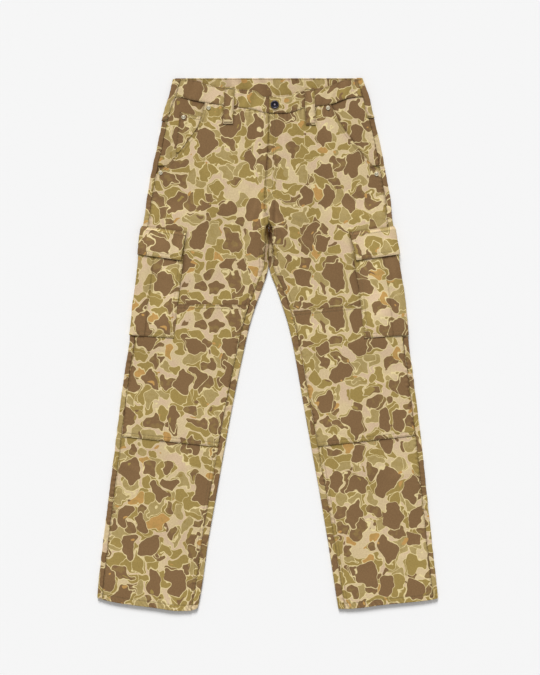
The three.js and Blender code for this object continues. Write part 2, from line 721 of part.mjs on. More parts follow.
for (const side of ["left", "right"])
  pants.add(
    wall(
      `cargo_flap_${side}`,
      MATERIALS.trim,
      FLAP_ROWS.length,
      FLAP_COLUMNS.length,
      (i, j) => flapPoint(side, i, j, 0),
      (i, j) => flapPoint(side, i, j, FLAP_WALL),
    ),
  );

// Belt loops on the front: over the waistband and sewn to the panel below it.
function frontLoopPoint(side, up, across, lift) {
  const loop = FRONT_LOOPS[side];
  const y = mix(loop.top - LOOP_LENGTH, loop.top, up);
  const x = loop.x + loop.lean * (1 - up) + LOOP_WIDTH * (across - 0.5);
  const onBand = smooth(bandBottom(x) - 12, bandBottom(x) - 4, y);
  const under = mix(topFace(side, x, y), bandFace(side, x, Math.max(y, WAIST_SEAM - 30)), onBand);
  return [x, y, under + LAY + lift];
}

const LOOP_UPS = [0, 0.12, 0.27, 0.37, 0.47, 0.7, 0.94, 1];
const LOOP_ACROSS = [0, 0.5, 1];

for (const side of ["left", "right"])
  pants.add(
    wall(
      `belt_loop_front_${side}`,
      MATERIALS.trim,
      LOOP_UPS.length,
      LOOP_ACROSS.length,
      (i, j) => frontLoopPoint(side, LOOP_UPS[i], LOOP_ACROSS[j], LOOP_WALL),
      (i, j) => frontLoopPoint(side, LOOP_UPS[i], LOOP_ACROSS[j], 0),
    ),
  );

// Belt loops over the side edges, curled round them.
const SIDE_LOOP_UNDER = -1.2;
const SIDE_LOOP_STEPS = [0, 0.12, 0.24, 0.36, 0.65, 1];
const SIDE_LOOP_UPS = [0, 0.25, 0.5, 0.62, 0.8, 1];

function sideLoopPoint(side, up, across, lift) {
  const loop = SIDE_LOOPS[side];
  const y = mix(loop.bottom, loop.top, up);
  const reach = mix(loop.inAtBottom, loop.inAtTop, up);
  const s = mix(SIDE_LOOP_UNDER, reach, across);
  const radius = mix(rollRadius(y), BAND_RADIUS, smooth(WAIST_SEAM - 12, WAIST_SEAM - 3, y));
  const inward = -SIDES[side];
  const quarter = (radius * Math.PI) / 2;
  const start = edge[side].out(y);
  if (s > quarter) {
    const x = start + inward * (radius + s - quarter);
    return [x, y, 2 * radius + 0.1 + LAY + lift];
  }
  const reachOut = radius + LAY + lift;
  const x = start + inward * (radius - reachOut * Math.cos(s / radius));
  return [x, y, radius + reachOut * Math.sin(s / radius)];
}

for (const side of ["left", "right"])
  pants.add(
    wall(
      `belt_loop_side_${side}`,
      MATERIALS.trim,
      SIDE_LOOP_UPS.length,
      SIDE_LOOP_STEPS.length,
      (i, j) => sideLoopPoint(side, SIDE_LOOP_UPS[i], SIDE_LOOP_STEPS[j], LOOP_WALL),
      (i, j) => sideLoopPoint(side, SIDE_LOOP_UPS[i], SIDE_LOOP_STEPS[j], 0),
    ),
  );

// Turned metal pieces, each seated just above the cloth that it is set through.
function turned(name, material, profile, segments, x, y, z) {
  const shape = profile.map(([r, up]) => new THREE.Vector2(r, up));
  const mesh = new THREE.Mesh(new THREE.LatheGeometry(shape, segments), material);
  mesh.rotation.x = Math.PI / 2;
  mesh.position.set(x, y, z);
  mesh.name = name;
  return mesh;
}

const SEAT = 0.4;
const RIVET_PROFILE = [
  [0, 0],
  [RIVET_RADIUS, 0],
  [RIVET_RADIUS, 0.4 * RIVET_HEIGHT],
  [0.8 * RIVET_RADIUS, 0.8 * RIVET_HEIGHT],
  [0.5 * RIVET_RADIUS, 0.65 * RIVET_HEIGHT],
  [0.3 * RIVET_RADIUS, RIVET_HEIGHT],
  [0, RIVET_HEIGHT],
];
const BUTTON_PROFILE = [
  [0, 0],
  [0.7 * BUTTON_RADIUS, 0],
  [BUTTON_RADIUS, 0.35 * BUTTON_HEIGHT],
  [BUTTON_RADIUS, 0.7 * BUTTON_HEIGHT],
  [0.86 * BUTTON_RADIUS, BUTTON_HEIGHT],
  [0.7 * BUTTON_RADIUS, 0.86 * BUTTON_HEIGHT],
  [0.3 * BUTTON_RADIUS, 0.6 * BUTTON_HEIGHT],
  [0.24 * BUTTON_RADIUS, 0.8 * BUTTON_HEIGHT],
  [0, 0.86 * BUTTON_HEIGHT],
];

for (const rivet of RIVETS) {
  const base = topFace(rivet.side, rivet.x, rivet.y) + rivet.over;
  pants.add(turned(rivet.name, MATERIALS.rivet, RIVET_PROFILE, 14, rivet.x, rivet.y, base + SEAT));
}
const buttonSeat = bandFace("right", BUTTON_PLACE.x, BUTTON_PLACE.y) + SEAT;
pants.add(turned("button", MATERIALS.button, BUTTON_PROFILE, 24, BUTTON_PLACE.x, BUTTON_PLACE.y, buttonSeat));

export default pants;
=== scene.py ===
"""Cargo pants laid flat with the front up: the sewn cloth, its print, its stitching, the button and the rivets.

Shapes are worked out in millimetres, as the part's own source has them, and made in metres.
+Z is up, +Y points to the waist, and left and right are the viewer's left (-X) and right (+X).
"""

import math

import bpy
import numpy as np
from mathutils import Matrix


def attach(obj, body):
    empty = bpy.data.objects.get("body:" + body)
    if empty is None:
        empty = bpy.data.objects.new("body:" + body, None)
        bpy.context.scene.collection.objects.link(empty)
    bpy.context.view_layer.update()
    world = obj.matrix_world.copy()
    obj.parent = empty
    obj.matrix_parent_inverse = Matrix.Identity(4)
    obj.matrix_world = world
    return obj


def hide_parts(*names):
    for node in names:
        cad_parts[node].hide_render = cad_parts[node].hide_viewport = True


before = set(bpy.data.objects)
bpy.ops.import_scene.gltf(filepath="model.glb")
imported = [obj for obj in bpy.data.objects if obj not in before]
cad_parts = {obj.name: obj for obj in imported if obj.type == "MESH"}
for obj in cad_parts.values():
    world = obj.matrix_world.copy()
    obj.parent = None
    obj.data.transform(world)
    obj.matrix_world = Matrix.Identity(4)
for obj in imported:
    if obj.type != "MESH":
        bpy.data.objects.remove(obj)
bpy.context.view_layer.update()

MM = 0.001

# The photograph: its width and height in pixels, the pixel at the model's origin, and its scale
PHOTO = {"width": 540, "height": 675, "origin_x": 267.8, "origin_y": 344.5, "mm_per_px": 2.0}
CAMERA_HEIGHT = 4000
CLOTH_TOP = 6
SENSOR_MM = 24

# Studio light: an even glow all round, and a wide soft lamp from the waist's side, a little from the left
WORLD_STRENGTH = 0.44
SUN_STRENGTH = 3.22
SUN_SPREAD = 24
SUN_TILT = (-55, -9)

# Cloth walls, clearances and heights along the garment
PANEL_WALL = 1.4
BAND_WALL = 2.4
PATCH_WALL = 1.2
LOOP_WALL = 1.5
HEM_WALL = 2.2
SEAM = 0.3
LAY = 0.5
WAIST_TOP = 533
WAIST_SEAM = 494
FRONT_CROTCH = 246
LEGS_MEET = 200
LEGS_PART = 150
HEM_LINE = -507
HEM_DEPTH = 24
SIDE_SEAM_IN = 10
INSEAM_IN = 13
CROTCH_GAPE = 2
TOUCH = 0.02
BAND_RADIUS = 3.3
CROWN_RUN = 60

# Cargo pockets and their flaps
POCKET_REACH = 90
POCKET_TOP = 226
POCKET_BOTTOM = 19
POCKET_TILT = 0.14
POCKET_BOTTOM_TILT = 0.07
POCKET_WALL = 1.35
POCKET_PUFF = 1.6
POCKET_HEM = 6
PLEAT_HALF = 29
PLEAT_RISE = 0.9
FLAP_TOP = 237
FLAP_BOTTOM = 180
FLAP_WALL = 1.4
FLAP_REACH = 91
FLAP_CORNER_IN = 5
FLAP_LIFT = 1.0
FLAP_LAY = 0.6
BODY_RISE = LAY + POCKET_WALL
FLAP_RISE = FLAP_LAY + FLAP_WALL
RISE_REACH = 100
RISE_RUN = 50

# Edges of the garment seen from above at each height
OUTLINE = {
    "y": (533, 501, 469, 405, 341, 277, 246, 229, 200, 181, 149, 117, 85, 37, -11, -107, -203, -299, -395,
          -459, -513),
    "left_out": (-187.6, -195.2, -205.6, -219.6, -233.6, -245.6, -252.4, -255.6, -259.4, -261.0, -263.6,
                 -266.4, -270.4, -275.4, -280.6, -293.6, -305.6, -317.6, -329.6, -337.0, -341.6),
    "left_in": (2, 2, 2, 2, 2, 2, 2, -0.6, 0.6, 1.0, -0.4, -9.6, -21.6, -36.6, -47.6, -67.6, -85.6, -102.4,
                -119.6, -130.2, -141.6),
    "right_in": (2.6, 2.6, 2.6, 2.6, 2.6, 2.6, 2.6, 5.2, 3.0, 2.4, 4.0, 15.4, 26.4, 41.4, 52.0, 69.0, 86.4,
                 104.0, 120.4, 132.4, 142.4),
    "right_out": (187.4, 199.4, 207.4, 224.4, 236.4, 248.4, 253.6, 256.4, 261.4, 264.4, 267.4, 272.0, 275.8,
                  280.6, 285.0, 296.4, 308.4, 318.4, 328.4, 335.8, 341.6),
}

# The front waistband's two edges
BAND_EDGES = {
    "x": (-190, -178, -150, -110, -60, -26, -6, 18, 44, 72, 126, 158, 180, 190),
    "top": (530, 530, 529, 517, 511, 508, 495, 497, 500, 507, 518, 529, 530, 531),
    "bottom": (494, 493.8, 488, 481, 474, 469, 463, 462, 463, 472, 480, 491, 494, 494.2),
}

# The slash pocket openings' edges and the fly's edge on the front panels
SLASH = {
    "y": (494, 445, 405, 377, 355, 342),
    "left": (-125.6, -138.5, -163, -183, -207, -223.4),
    "right": (126.4, 147, 172, 193, 213, 226.2),
}
SLASH_FOOT = 342
FACING_FOOT = 356
FACING_LAP = 10
FLY = {
    "y": (494, 420, 340, 290, 272, 258, 246),
    "x": (2.4, 1.6, -3.4, -6.2, -6.6, -2.4, 2.3),
}
FLY_FOOT = 290
FLY_LAP = 14
FLY_RISE_RUN = 26

# How far the hems reach below their straight line, from the outer edge (0) to the inner (1)
HEM_DROP = {
    "at": (0, 0.12, 0.36, 0.55, 0.81, 0.91, 1),
    "left": (0, 6.8, 14.6, 19.4, 26.0, 26.0, 21.0),
    "right": (0, 4.4, 9.2, 13.0, 19.6, 21.0, 20.6),
}
HEM_START = {"left": -507, "right": -508}
HEM_BOW_RUN = 130

# Radius of the rolled edges and rise of the cloth between them
BODY = {
    "y": (534, 494, 400, 300, 180, -20, -240, -440, -480, -540),
    "radius": (3.1, 3.0, 2.7, 2.4, 2.2, 2.2, 2.2, 2.3, 3.0, 3.0),
    "crown": (0.5, 0.5, 0.9, 1.2, 1.3, 1.5, 1.4, 1.2, 0.7, 0.7),
}

# The largest soft folds: x and y of both ends, height and half width
FOLDS = (
    (-24, 232, -120, 286, 0.9, 24),
    (26, 236, 118, 300, 0.9, 24),
    (-60, 170, -150, 130, 0.7, 26),
    (62, 160, 150, 122, 0.7, 26),
    (-130, -240, -250, -268, 0.8, 26),
    (128, -236, 262, -262, 0.8, 26),
    (-190, -330, -215, -450, 0.7, 28),
    (196, -320, 226, -448, 0.7, 28),
    (-52, 430, -70, 330, 0.6, 24),
    (62, 430, 80, 320, 0.6, 24),
)

# Narrower creases of the front: x and y of both ends, height (below zero for a trough) and half width
CREASES = (
    (-14, 300, -40, 236, 0.8, 7),
    (-30, 318, -66, 262, -0.5, 9),
    (-8, 262, -30, 214, 0.9, 6),
    (-22, 250, -74, 222, -0.5, 8),
    (12, 306, 34, 240, 0.7, 7),
    (14, 258, 40, 208, 0.9, 7),
    (26, 262, 84, 240, -0.5, 9),
    (30, 230, 92, 196, 0.5, 8),
    (-36, 206, -96, 178, 0.5, 9),
    (-18, 440, -26, 372, 0.5, 6),
    (-40, 452, -52, 404, -0.35, 7),
    (34, 448, 30, 380, 0.45, 6),
    (56, 452, 66, 396, -0.35, 8),
    (-104, 468, -118, 424, 0.45, 7),
    (104, 462, 122, 410, 0.45, 7),
    (-150, 380, -118, 338, 0.5, 10),
    (-196, 330, -150, 300, 0.45, 11),
    (162, 378, 130, 330, 0.5, 10),
    (204, 324, 160, 296, 0.45, 10),
    (-16, 276, -9, 226, 1.1, 4),
    (-9, 284, -5, 230, -1.4, 3.4),
    (-3, 280, -1, 236, 1.1, 3.2),
    (5, 284, 6, 238, 1.0, 3),
    (13, 282, 11, 226, -1.4, 3.6),
    (19, 272, 16, 218, 1.1, 4),
    (-240, 300, -190, 262, 0.5, 9),
    (244, 302, 196, 268, 0.5, 9),
    (-66, 60, -118, 30, 0.4, 9),
    (80, 40, 132, 18, 0.4, 9),
    (-262, -60, -206, -92, 0.45, 11),
    (270, -48, 214, -84, 0.45, 11),
    (-96, -150, -146, -172, 0.4, 9),
    (98, -146, 150, -170, 0.4, 10),
    (-300, -232, -240, -262, 0.5, 10),
    (302, -236, 244, -270, 0.5, 11),
    (-122, -322, -168, -352, 0.4, 10),
    (128, -330, 176, -362, 0.4, 10),
    (-312, -400, -262, -436, 0.45, 12),
    (314, -392, 262, -430, 0.45, 12),
)

# Creases of the underside, each a shallow hollow in the cloth that otherwise lies flat
BACK_CREASES = (
    (-20, 232, -110, 306, 0.5, 13),
    (22, 228, 116, 300, 0.5, 13),
    (-18, 214, -92, 262, 0.4, 9),
    (24, 216, 88, 268, 0.4, 10),
    (-60, 420, -84, 340, 0.35, 12),
    (66, 430, 80, 352, 0.35, 11),
    (-150, 440, -168, 366, 0.35, 12),
    (158, 446, 170, 360, 0.35, 12),
    (-44, 150, -122, 118, 0.4, 11),
    (48, 142, 130, 126, 0.4, 11),
    (-74, 8, -176, -22, 0.5, 12),
    (80, 2, 184, -30, 0.5, 12),
    (-84, -52, -158, -60, 0.45, 10),
    (90, -48, 170, -64, 0.45, 10),
    (-92, -96, -180, -128, 0.4, 12),
    (98, -104, 176, -120, 0.4, 12),
    (-120, -236, -214, -262, 0.35, 12),
    (124, -228, 206, -268, 0.35, 13),
    (-150, -340, -250, -352, 0.35, 11),
    (148, -352, 240, -338, 0.35, 11),
    (-180, -430, -268, -452, 0.3, 12),
    (176, -424, 262, -456, 0.3, 12),
)

# Knee patches: heights of their edges at the side seam and at the inseam
PATCHES = {
    "left": {"top_out": 82, "top_in": 79, "bottom_out": -184, "bottom_in": -205},
    "right": {"top_out": 88, "top_in": 66, "bottom_out": -182, "bottom_in": -204},
}
PATCH_IN = 1

# Belt loops
LOOP_WIDTH = 20
LOOP_LENGTH = 74
FRONT_LOOPS = {
    "left": {"x": -76, "top": 515, "lean": -4},
    "right": {"x": 83, "top": 513, "lean": 3},
}
SIDE_LOOPS = {
    "left": {"top": 531, "bottom": 447, "in_at_top": 16, "in_at_bottom": 11},
    "right": {"top": 533, "bottom": 453, "in_at_top": 12, "in_at_bottom": 14},
}
SIDE_LOOP_UNDER = -1.2

# Coin pocket on the left facing
COIN = {"top": 465, "foot": 384, "outer_top": -176, "outer_foot": -184, "clear": 1}

SIDES = {"left": -1, "right": 1}


def mix(a, b, t):
    return a + (b - a) * t


def smooth(low, high, v):
    t = np.clip((v - low) / (high - low), 0, 1)
    return t * t * (3 - 2 * t)


def curve(table, over, column):
    """A smooth curve through one column of a table, over another column; it never overshoots the rows."""
    order = np.argsort(table[over])
    at = np.array(table[over], float)[order]
    value = np.array(table[column], float)[order]
    span = np.diff(at)
    slope = np.diff(value) / span
    tangent = np.zeros(len(at))
    tangent[0] = slope[0]
    tangent[-1] = slope[-1]
    product = slope[:-1] * slope[1:]
    total = slope[:-1] + slope[1:]
    total[total == 0] = 1
    tangent[1:-1] = np.where(product > 0, 2 * product / total, 0)

    def value_at(v):
        v = np.clip(v, at[0], at[-1])
        i = np.clip(np.searchsorted(at, v) - 1, 0, len(at) - 2)
        t = (v - at[i]) / span[i]
        rise = value[i + 1] - value[i]
        p = tangent[i] * span[i]
        q = tangent[i + 1] * span[i]
        return value[i] + t * (p + t * (3 * rise - 2 * p - q + t * (p + q - 2 * rise)))

    return value_at


def wave(t, seed, length=8.7):
    """Uneven ripples along a sewn row."""
    bent = 2 * math.pi * t / length + 1.9 * np.sin(t / 31 + seed) + 1.1 * np.sin(t / 13.7 + 2.3 * seed)
    return np.sin(bent) * (0.62 + 0.38 * np.sin(t / 43 + 1.7 * seed))


def closed(side):
    """The legs' inside edges, drawn together where the two legs touch below the crotch."""
    own, other = (curve(OUTLINE, "y", f"{k}_in") for k in ([side] + [k for k in SIDES if k != side]))
    return lambda y: mix(own(y), (own(y) + other(y)) / 2 + SIDES[side] * TOUCH, smooth(143, 162, y))


def uneven(edge, seed):
    """An outline with the small bumps that its seams give it."""
    return lambda y: edge(y) + 0.45 * wave(y, seed, 47) + 0.22 * wave(y, seed + 2, 14)


EDGE = {
    side: {
        "out": uneven(curve(OUTLINE, "y", f"{side}_out"), 1 + SIDES[side]),
        "in": closed(side),
    }
    for side in SIDES
}
band_top = curve(BAND_EDGES, "x", "top")
band_bottom = curve(BAND_EDGES, "x", "bottom")
SLASH_EDGE = {side: curve(SLASH, "y", side) for side in SIDES}
fly_edge = curve(FLY, "y", "x")
HEM = {side: curve(HEM_DROP, "at", side) for side in SIDES}
roll_radius = curve(BODY, "y", "radius")
crown_rise = curve(BODY, "y", "crown")


def edge_rise(y):
    """How far the cloth is raised at the side edge by the pocket layers under it."""
    body = smooth(-52, 8, y) * (1 - smooth(252, 294, y))
    flap = smooth(100, 160, y) * (1 - smooth(252, 294, y))
    return BODY_RISE * body + FLAP_RISE * flap


def cloth_edge(side, y):
    return EDGE[side]["out"](y) - SIDES[side] * edge_rise(y)


def from_edge(side, x, y):
    return SIDES[side] * (cloth_edge(side, y) - x)


def from_inside(side, x, y):
    return SIDES[side] * (x - EDGE[side]["in"](y))


def underside(side, x, y):
    return edge_rise(y) * (1 - smooth(RISE_REACH, RISE_REACH + RISE_RUN, from_edge(side, x, y)))


def line_rise(lines, x, y):
    """Soft ridges and troughs, each from one end to the other, highest at its middle."""
    rise = 0
    for x0, y0, x1, y1, height, half in lines:
        dx, dy = x1 - x0, y1 - y0
        t = np.clip(((x - x0) * dx + (y - y0) * dy) / (dx * dx + dy * dy), 0, 1)
        away = np.hypot(x - x0 - t * dx, y - y0 - t * dy)
        rise = rise + height * (1 - smooth(0, half, away)) * (1 - 0.4 * np.abs(2 * t - 1))
    return rise


def top_face(side, x, y):
    """Height of the front's upper face, lens shaped over each leg and over the hips as one."""
    legs = 1 - smooth(LEGS_MEET, FRONT_CROTCH + 30, y)
    outer = smooth(2, CROWN_RUN, from_edge(side, x, y))
    inner = mix(1, smooth(2, CROWN_RUN, from_inside(side, x, y)), legs)
    lens = outer * inner
    folds = crown_rise(y) + line_rise(FOLDS, x, y)
    near_edge = smooth(1, 14, from_edge(side, x, y)) * mix(1, smooth(1, 14, from_inside(side, x, y)), legs)
    return underside(side, x, y) + 2 * roll_radius(y) + folds * lens + line_rise(CREASES, x, y) * near_edge


def row_height(side, x, row, is_front=True):
    """Rows follow the front's waist seam at the top and the hem's bow at the bottom."""
    waist = smooth(300, WAIST_SEAM, row) * (band_bottom(x) - WAIST_SEAM) if is_front else 0
    out = EDGE[side]["out"](row)
    across = np.clip((x - out) / (EDGE[side]["in"](row) - out), 0, 1)
    bow = smooth(HEM_LINE + HEM_BOW_RUN, HEM_LINE, row)
    return row + waist - bow * (HEM[side](across) + HEM_LINE - HEM_START[side])


def panel_wall(row):
    return mix(PANEL_WALL, HEM_WALL, 1 - smooth(HEM_LINE + HEM_DEPTH - 3, HEM_LINE + HEM_DEPTH, row))


# Meshes


# Distances from a sewn edge at which a piece's points lie, and those of its rows of stitches
EDGE_STEPS = (0.25, 0.7, 1.3, 2, 2.7, 3.6, 4.8, 6, 7.2, 8, 8.8, 10)
HEM_STEPS = (0.25, 0.7, 1.4, 2.4, 3.6, 5, 6.4, 7.8, 9.2, 10.2, 11, 11.8, 13, 14.6)
FINE_STEPS = (0.25, 0.7, 1.3, 2, 2.7, 3.6)
FIRST_ROW = 2
SECOND_ROW = 8
HEM_ROW = 11
STITCH_PULL = 0.2
STITCH_REACH = 1.0
RIPPLE = 0.26
RIPPLE_REACH = 7
FOLD_SHADE = 0.17


def spread(start, end, step, at_start=EDGE_STEPS, at_end=EDGE_STEPS):
    """Places from start to end, about a step apart, and close together at both ends."""
    way = 1 if end > start else -1
    first = start + way * (max(at_start) if at_start else 0)
    last = end - way * (max(at_end) if at_end else 0)
    count = max(2, round(abs(last - first) / step) + 1)
    near = [start] + [start + way * d for d in at_start[:-1]] if at_start else []
    far = [end - way * d for d in reversed(at_end[:-1])] + [end] if at_end else []
    return np.array(near + list(np.linspace(first, last, count)) + far)


def edge_round(rows_in, columns_in, wall):
    """How far each face draws back at a piece's border, to make a rounded edge."""
    distance = np.minimum(rows_in[:, None], columns_in[None, :])
    radius = wall / 2
    inset = np.clip(radius - distance, 0, radius)
    return radius - np.sqrt(np.maximum(radius * radius - inset * inset, 0))


def sewn(distance, along, rows, seed, ripple=RIPPLE, reach=RIPPLE_REACH):
    """Rows of stitches pull the cloth down near an edge, and it ripples along them."""
    relief = ripple * np.exp(-((distance / reach) ** 2)) * wave(along, seed)
    for row in rows:
        relief = relief - STITCH_PULL * np.exp(-(((distance - row) / STITCH_REACH) ** 2))
    return relief


def pucker_shade(distance, along, seed, middle=5, reach=3.2, depth=0.3):
    """Painted shade of short hollows between two rows of stitches, where the cloth is drawn together; the surface
    itself is not hollowed.
    """
    hollow = smooth(0.15, 0.85, wave(along, seed, 13)) * smooth(-0.4, 0.4, wave(along, seed + 3, 41))
    return -depth * hollow * np.exp(-(((distance - middle) / reach) ** 2))


def seam_shade(distance, depth=0.3, reach=1.3, along=None):
    """How much darker the cloth is close to a seam; it varies along the seam where its length is given."""
    line = -depth * np.exp(-((distance / reach) ** 2))
    return line if along is None else line * mix(0.3, 1, smooth(-0.6, 0.9, wave(along, 3, 21)))


def new_mesh(name, points, faces, material):
    mesh = bpy.data.meshes.new(name)
    mesh.from_pydata((np.asarray(points) * MM).tolist(), [], faces)
    mesh.polygons.foreach_set("use_smooth", [True] * len(mesh.polygons))
    mesh.materials.append(material)
    piece = bpy.data.objects.new(name, mesh)
    bpy.context.collection.objects.link(piece)
    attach(piece, "root")
    return piece


def grid_faces(rows, columns, offset=0, turned=False):
    i, j = np.meshgrid(np.arange(rows - 1), np.arange(columns - 1), indexing="ij")
    a = (offset + i * columns + j).ravel()
    quads = np.stack([a, a + columns, a + columns + 1, a + 1], axis=1)
    return quads[:, ::-1] if turned else quads


def shell(name, outer, inner, place, shade, material, node):
    """A closed cloth wall between two grids of points; place holds each point's own spot on the flat cloth."""
    rows, columns = outer.shape[:2]
    count = rows * columns
    points = np.concatenate([outer.reshape(-1, 3), inner.reshape(-1, 3)])
    border = np.concatenate([
        np.arange(columns),
        np.arange(1, rows) * columns + columns - 1,
        (rows - 1) * columns + np.arange(columns - 2, -1, -1),
        np.arange(rows - 2, 0, -1) * columns,
    ])
    after = np.roll(border, -1)
    rim = np.stack([border, after, after + count, border + count], axis=1)
    faces = np.concatenate([grid_faces(rows, columns), grid_faces(rows, columns, count, True), rim])
    a, b, c = (outer[rows // 2, columns // 2], outer[rows // 2 + 1, columns // 2], outer[rows // 2, columns // 2 + 1])
    away = outer[rows // 2, columns // 2] - inner[rows // 2, columns // 2]
    if np.dot(np.cross(b - a, c - a), away) < 0:
        faces = faces[:, ::-1]
    piece = new_mesh(name, points, faces.tolist(), material)
    flat = np.zeros((2 * count, 3))
    flat[:, :2] = np.tile(place.reshape(-1, 2), (2, 1)) * MM
    layer = piece.data.attributes.new("cloth", "FLOAT_VECTOR", "POINT")
    layer.data.foreach_set("vector", flat.ravel())
    tone = piece.data.attributes.new("shade", "FLOAT", "POINT")
    tone.data.foreach_set("value", np.tile(np.broadcast_to(shade, (rows, columns)).ravel(), 2))
    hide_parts(node)
    return piece


def laid(place):
    """Measures a piece as cloth laid flat: its widest row and its longest column; nothing uses the results."""
    width = float(np.hypot(*np.diff(place, axis=1).transpose(2, 0, 1)).sum(axis=1).max() * MM)
    length = float(np.hypot(*np.diff(place, axis=0).transpose(2, 0, 1)).sum(axis=0).max() * MM)


def stack(x, y, z):
    return np.stack(np.broadcast_arrays(x, y, z), axis=-1).astype(float)


def linear(rgb):
    """A colour of the photograph's scale (0 to 255) as the shader takes it."""
    return tuple(((v / 255 + 0.055) / 1.055) ** 2.4 if v > 10 else v / 3294.6 for v in rgb) + (1,)


class Nodes:
    """Short calls that add one node each to a material and return its first output."""

    def __init__(self, name):
        self.material = bpy.data.materials.new(name)
        self.material.use_nodes = True
        self.tree = self.material.node_tree
        self.shader = self.tree.nodes["Principled BSDF"]

    def add(self, kind, inputs=(), **settings):
        node = self.tree.nodes.new("ShaderNode" + kind)
        for key, value in settings.items():
            setattr(node, key, value)
        for key, value in dict(inputs).items():
            self.join(value, node.inputs[key])
        return node

    def join(self, value, socket):
        if isinstance(value, bpy.types.NodeSocket):
            self.tree.links.new(value, socket)
        else:
            socket.default_value = value

    def maths(self, operation, a, b=0.0, c=0.0):
        return self.add("Math", {0: a, 1: b, 2: c}, operation=operation).outputs[0]

    def vector(self, operation, a, b):
        return self.add("VectorMath", {0: a, 1: b}, operation=operation).outputs[0]

    def scaled(self, a, factor):
        return self.add("VectorMath", {0: a, "Scale": factor}, operation="SCALE").outputs[0]

    def span(self, value, low, high, to_low=0.0, to_high=1.0):
        return self.add("MapRange", {0: value, 1: low, 2: high, 3: to_low, 4: to_high}).outputs[0]

    def mixed(self, share, a, b, blend="MIX"):
        node = self.add("Mix", data_type="RGBA", blend_type=blend)
        for key, value in (("Factor_Float", share), ("A_Color", a), ("B_Color", b)):
            self.join(value, next(i for i in node.inputs if i.identifier == key))
        return next(o for o in node.outputs if o.identifier == "Result_Color")

    def noise(self, place, size, detail=0.0):
        node = self.add("TexNoise", {"Vector": place, "Scale": 1 / size, "Detail": detail}, noise_dimensions="2D")
        return node

    def chosen(self, value, colours):
        """One of several flat colours by a value from 0 to 1; each starts at its own place."""
        ramp = self.add("ValToRGB", {0: value})
        ramp.color_ramp.interpolation = "CONSTANT"
        elements = ramp.color_ramp.elements
        while len(elements) > 1:
            elements.remove(elements[-1])
        for start, colour in colours:
            element = elements.new(start) if start > 0 else elements[0]
            element.color = linear(colour)
        return ramp.outputs[0]


# The print: its colours, and layers of blobs that are printed one over another.
# Each layer has its blobs' spacing, how much flatter than tall they are, the gap between neighbours, the smallest and largest radius, the share
# of places that hold a blob, the pale line's width and its colours with the share at which each starts.
SAND = (209, 187, 145)
SAND_WARM = (207, 181, 148)
HALO = (224, 205, 152)
OLIVE = (170, 149, 97)
MUSTARD = (157, 134, 75)
BROWN = (128, 99, 66)
OCHRE = (188, 146, 84)
PRINT_LAYERS = (
    (40, 1.15, 1.6, 11.5, 19.5, 0.95, 1.2, 0.7, ((0, OLIVE), (0.32, MUSTARD))),
    (36, 1.15, 2.0, 9, 16, 0.88, 1.2, 0.7, ((0, MUSTARD), (0.48, OLIVE), (0.7, BROWN), (0.95, OCHRE))),
    (37, 0.9, 2.0, 9, 16, 0.88, 1.2, 0.7, ((0, BROWN), (0.48, OLIVE), (0.66, MUSTARD), (0.95, OCHRE))),
    (52, 0.75, 3.0, 14, 21, 0.68, 1.2, 0.7, ((0, BROWN),)),
    (31, 1.1, 2.0, 2.5, 6, 0.45, -0.4, 0.9, ((0, OCHRE), (0.4, BROWN), (0.7, MUSTARD))),
)
PRINT_SOFT = 0.25
BLOB_ROUND = 0.3
WASH = 0.35
WEAVE_SCALE = 0.4
WARM_SHADE = (0.08, 0, -0.07)
DARKEST = 0.1
THREAD_DARK = (112, 94, 58)
THREAD_PALE = (146, 126, 82)
BUTTON_DARK = (34, 32, 48)
# The button's second colour: a painted highlight on its middle, and wear on its rim.
BUTTON_WEAR_AND_HIGHLIGHT = (172, 160, 168)
RIVET_PALE = (222, 212, 184)
RIVET_DULL = (128, 114, 84)


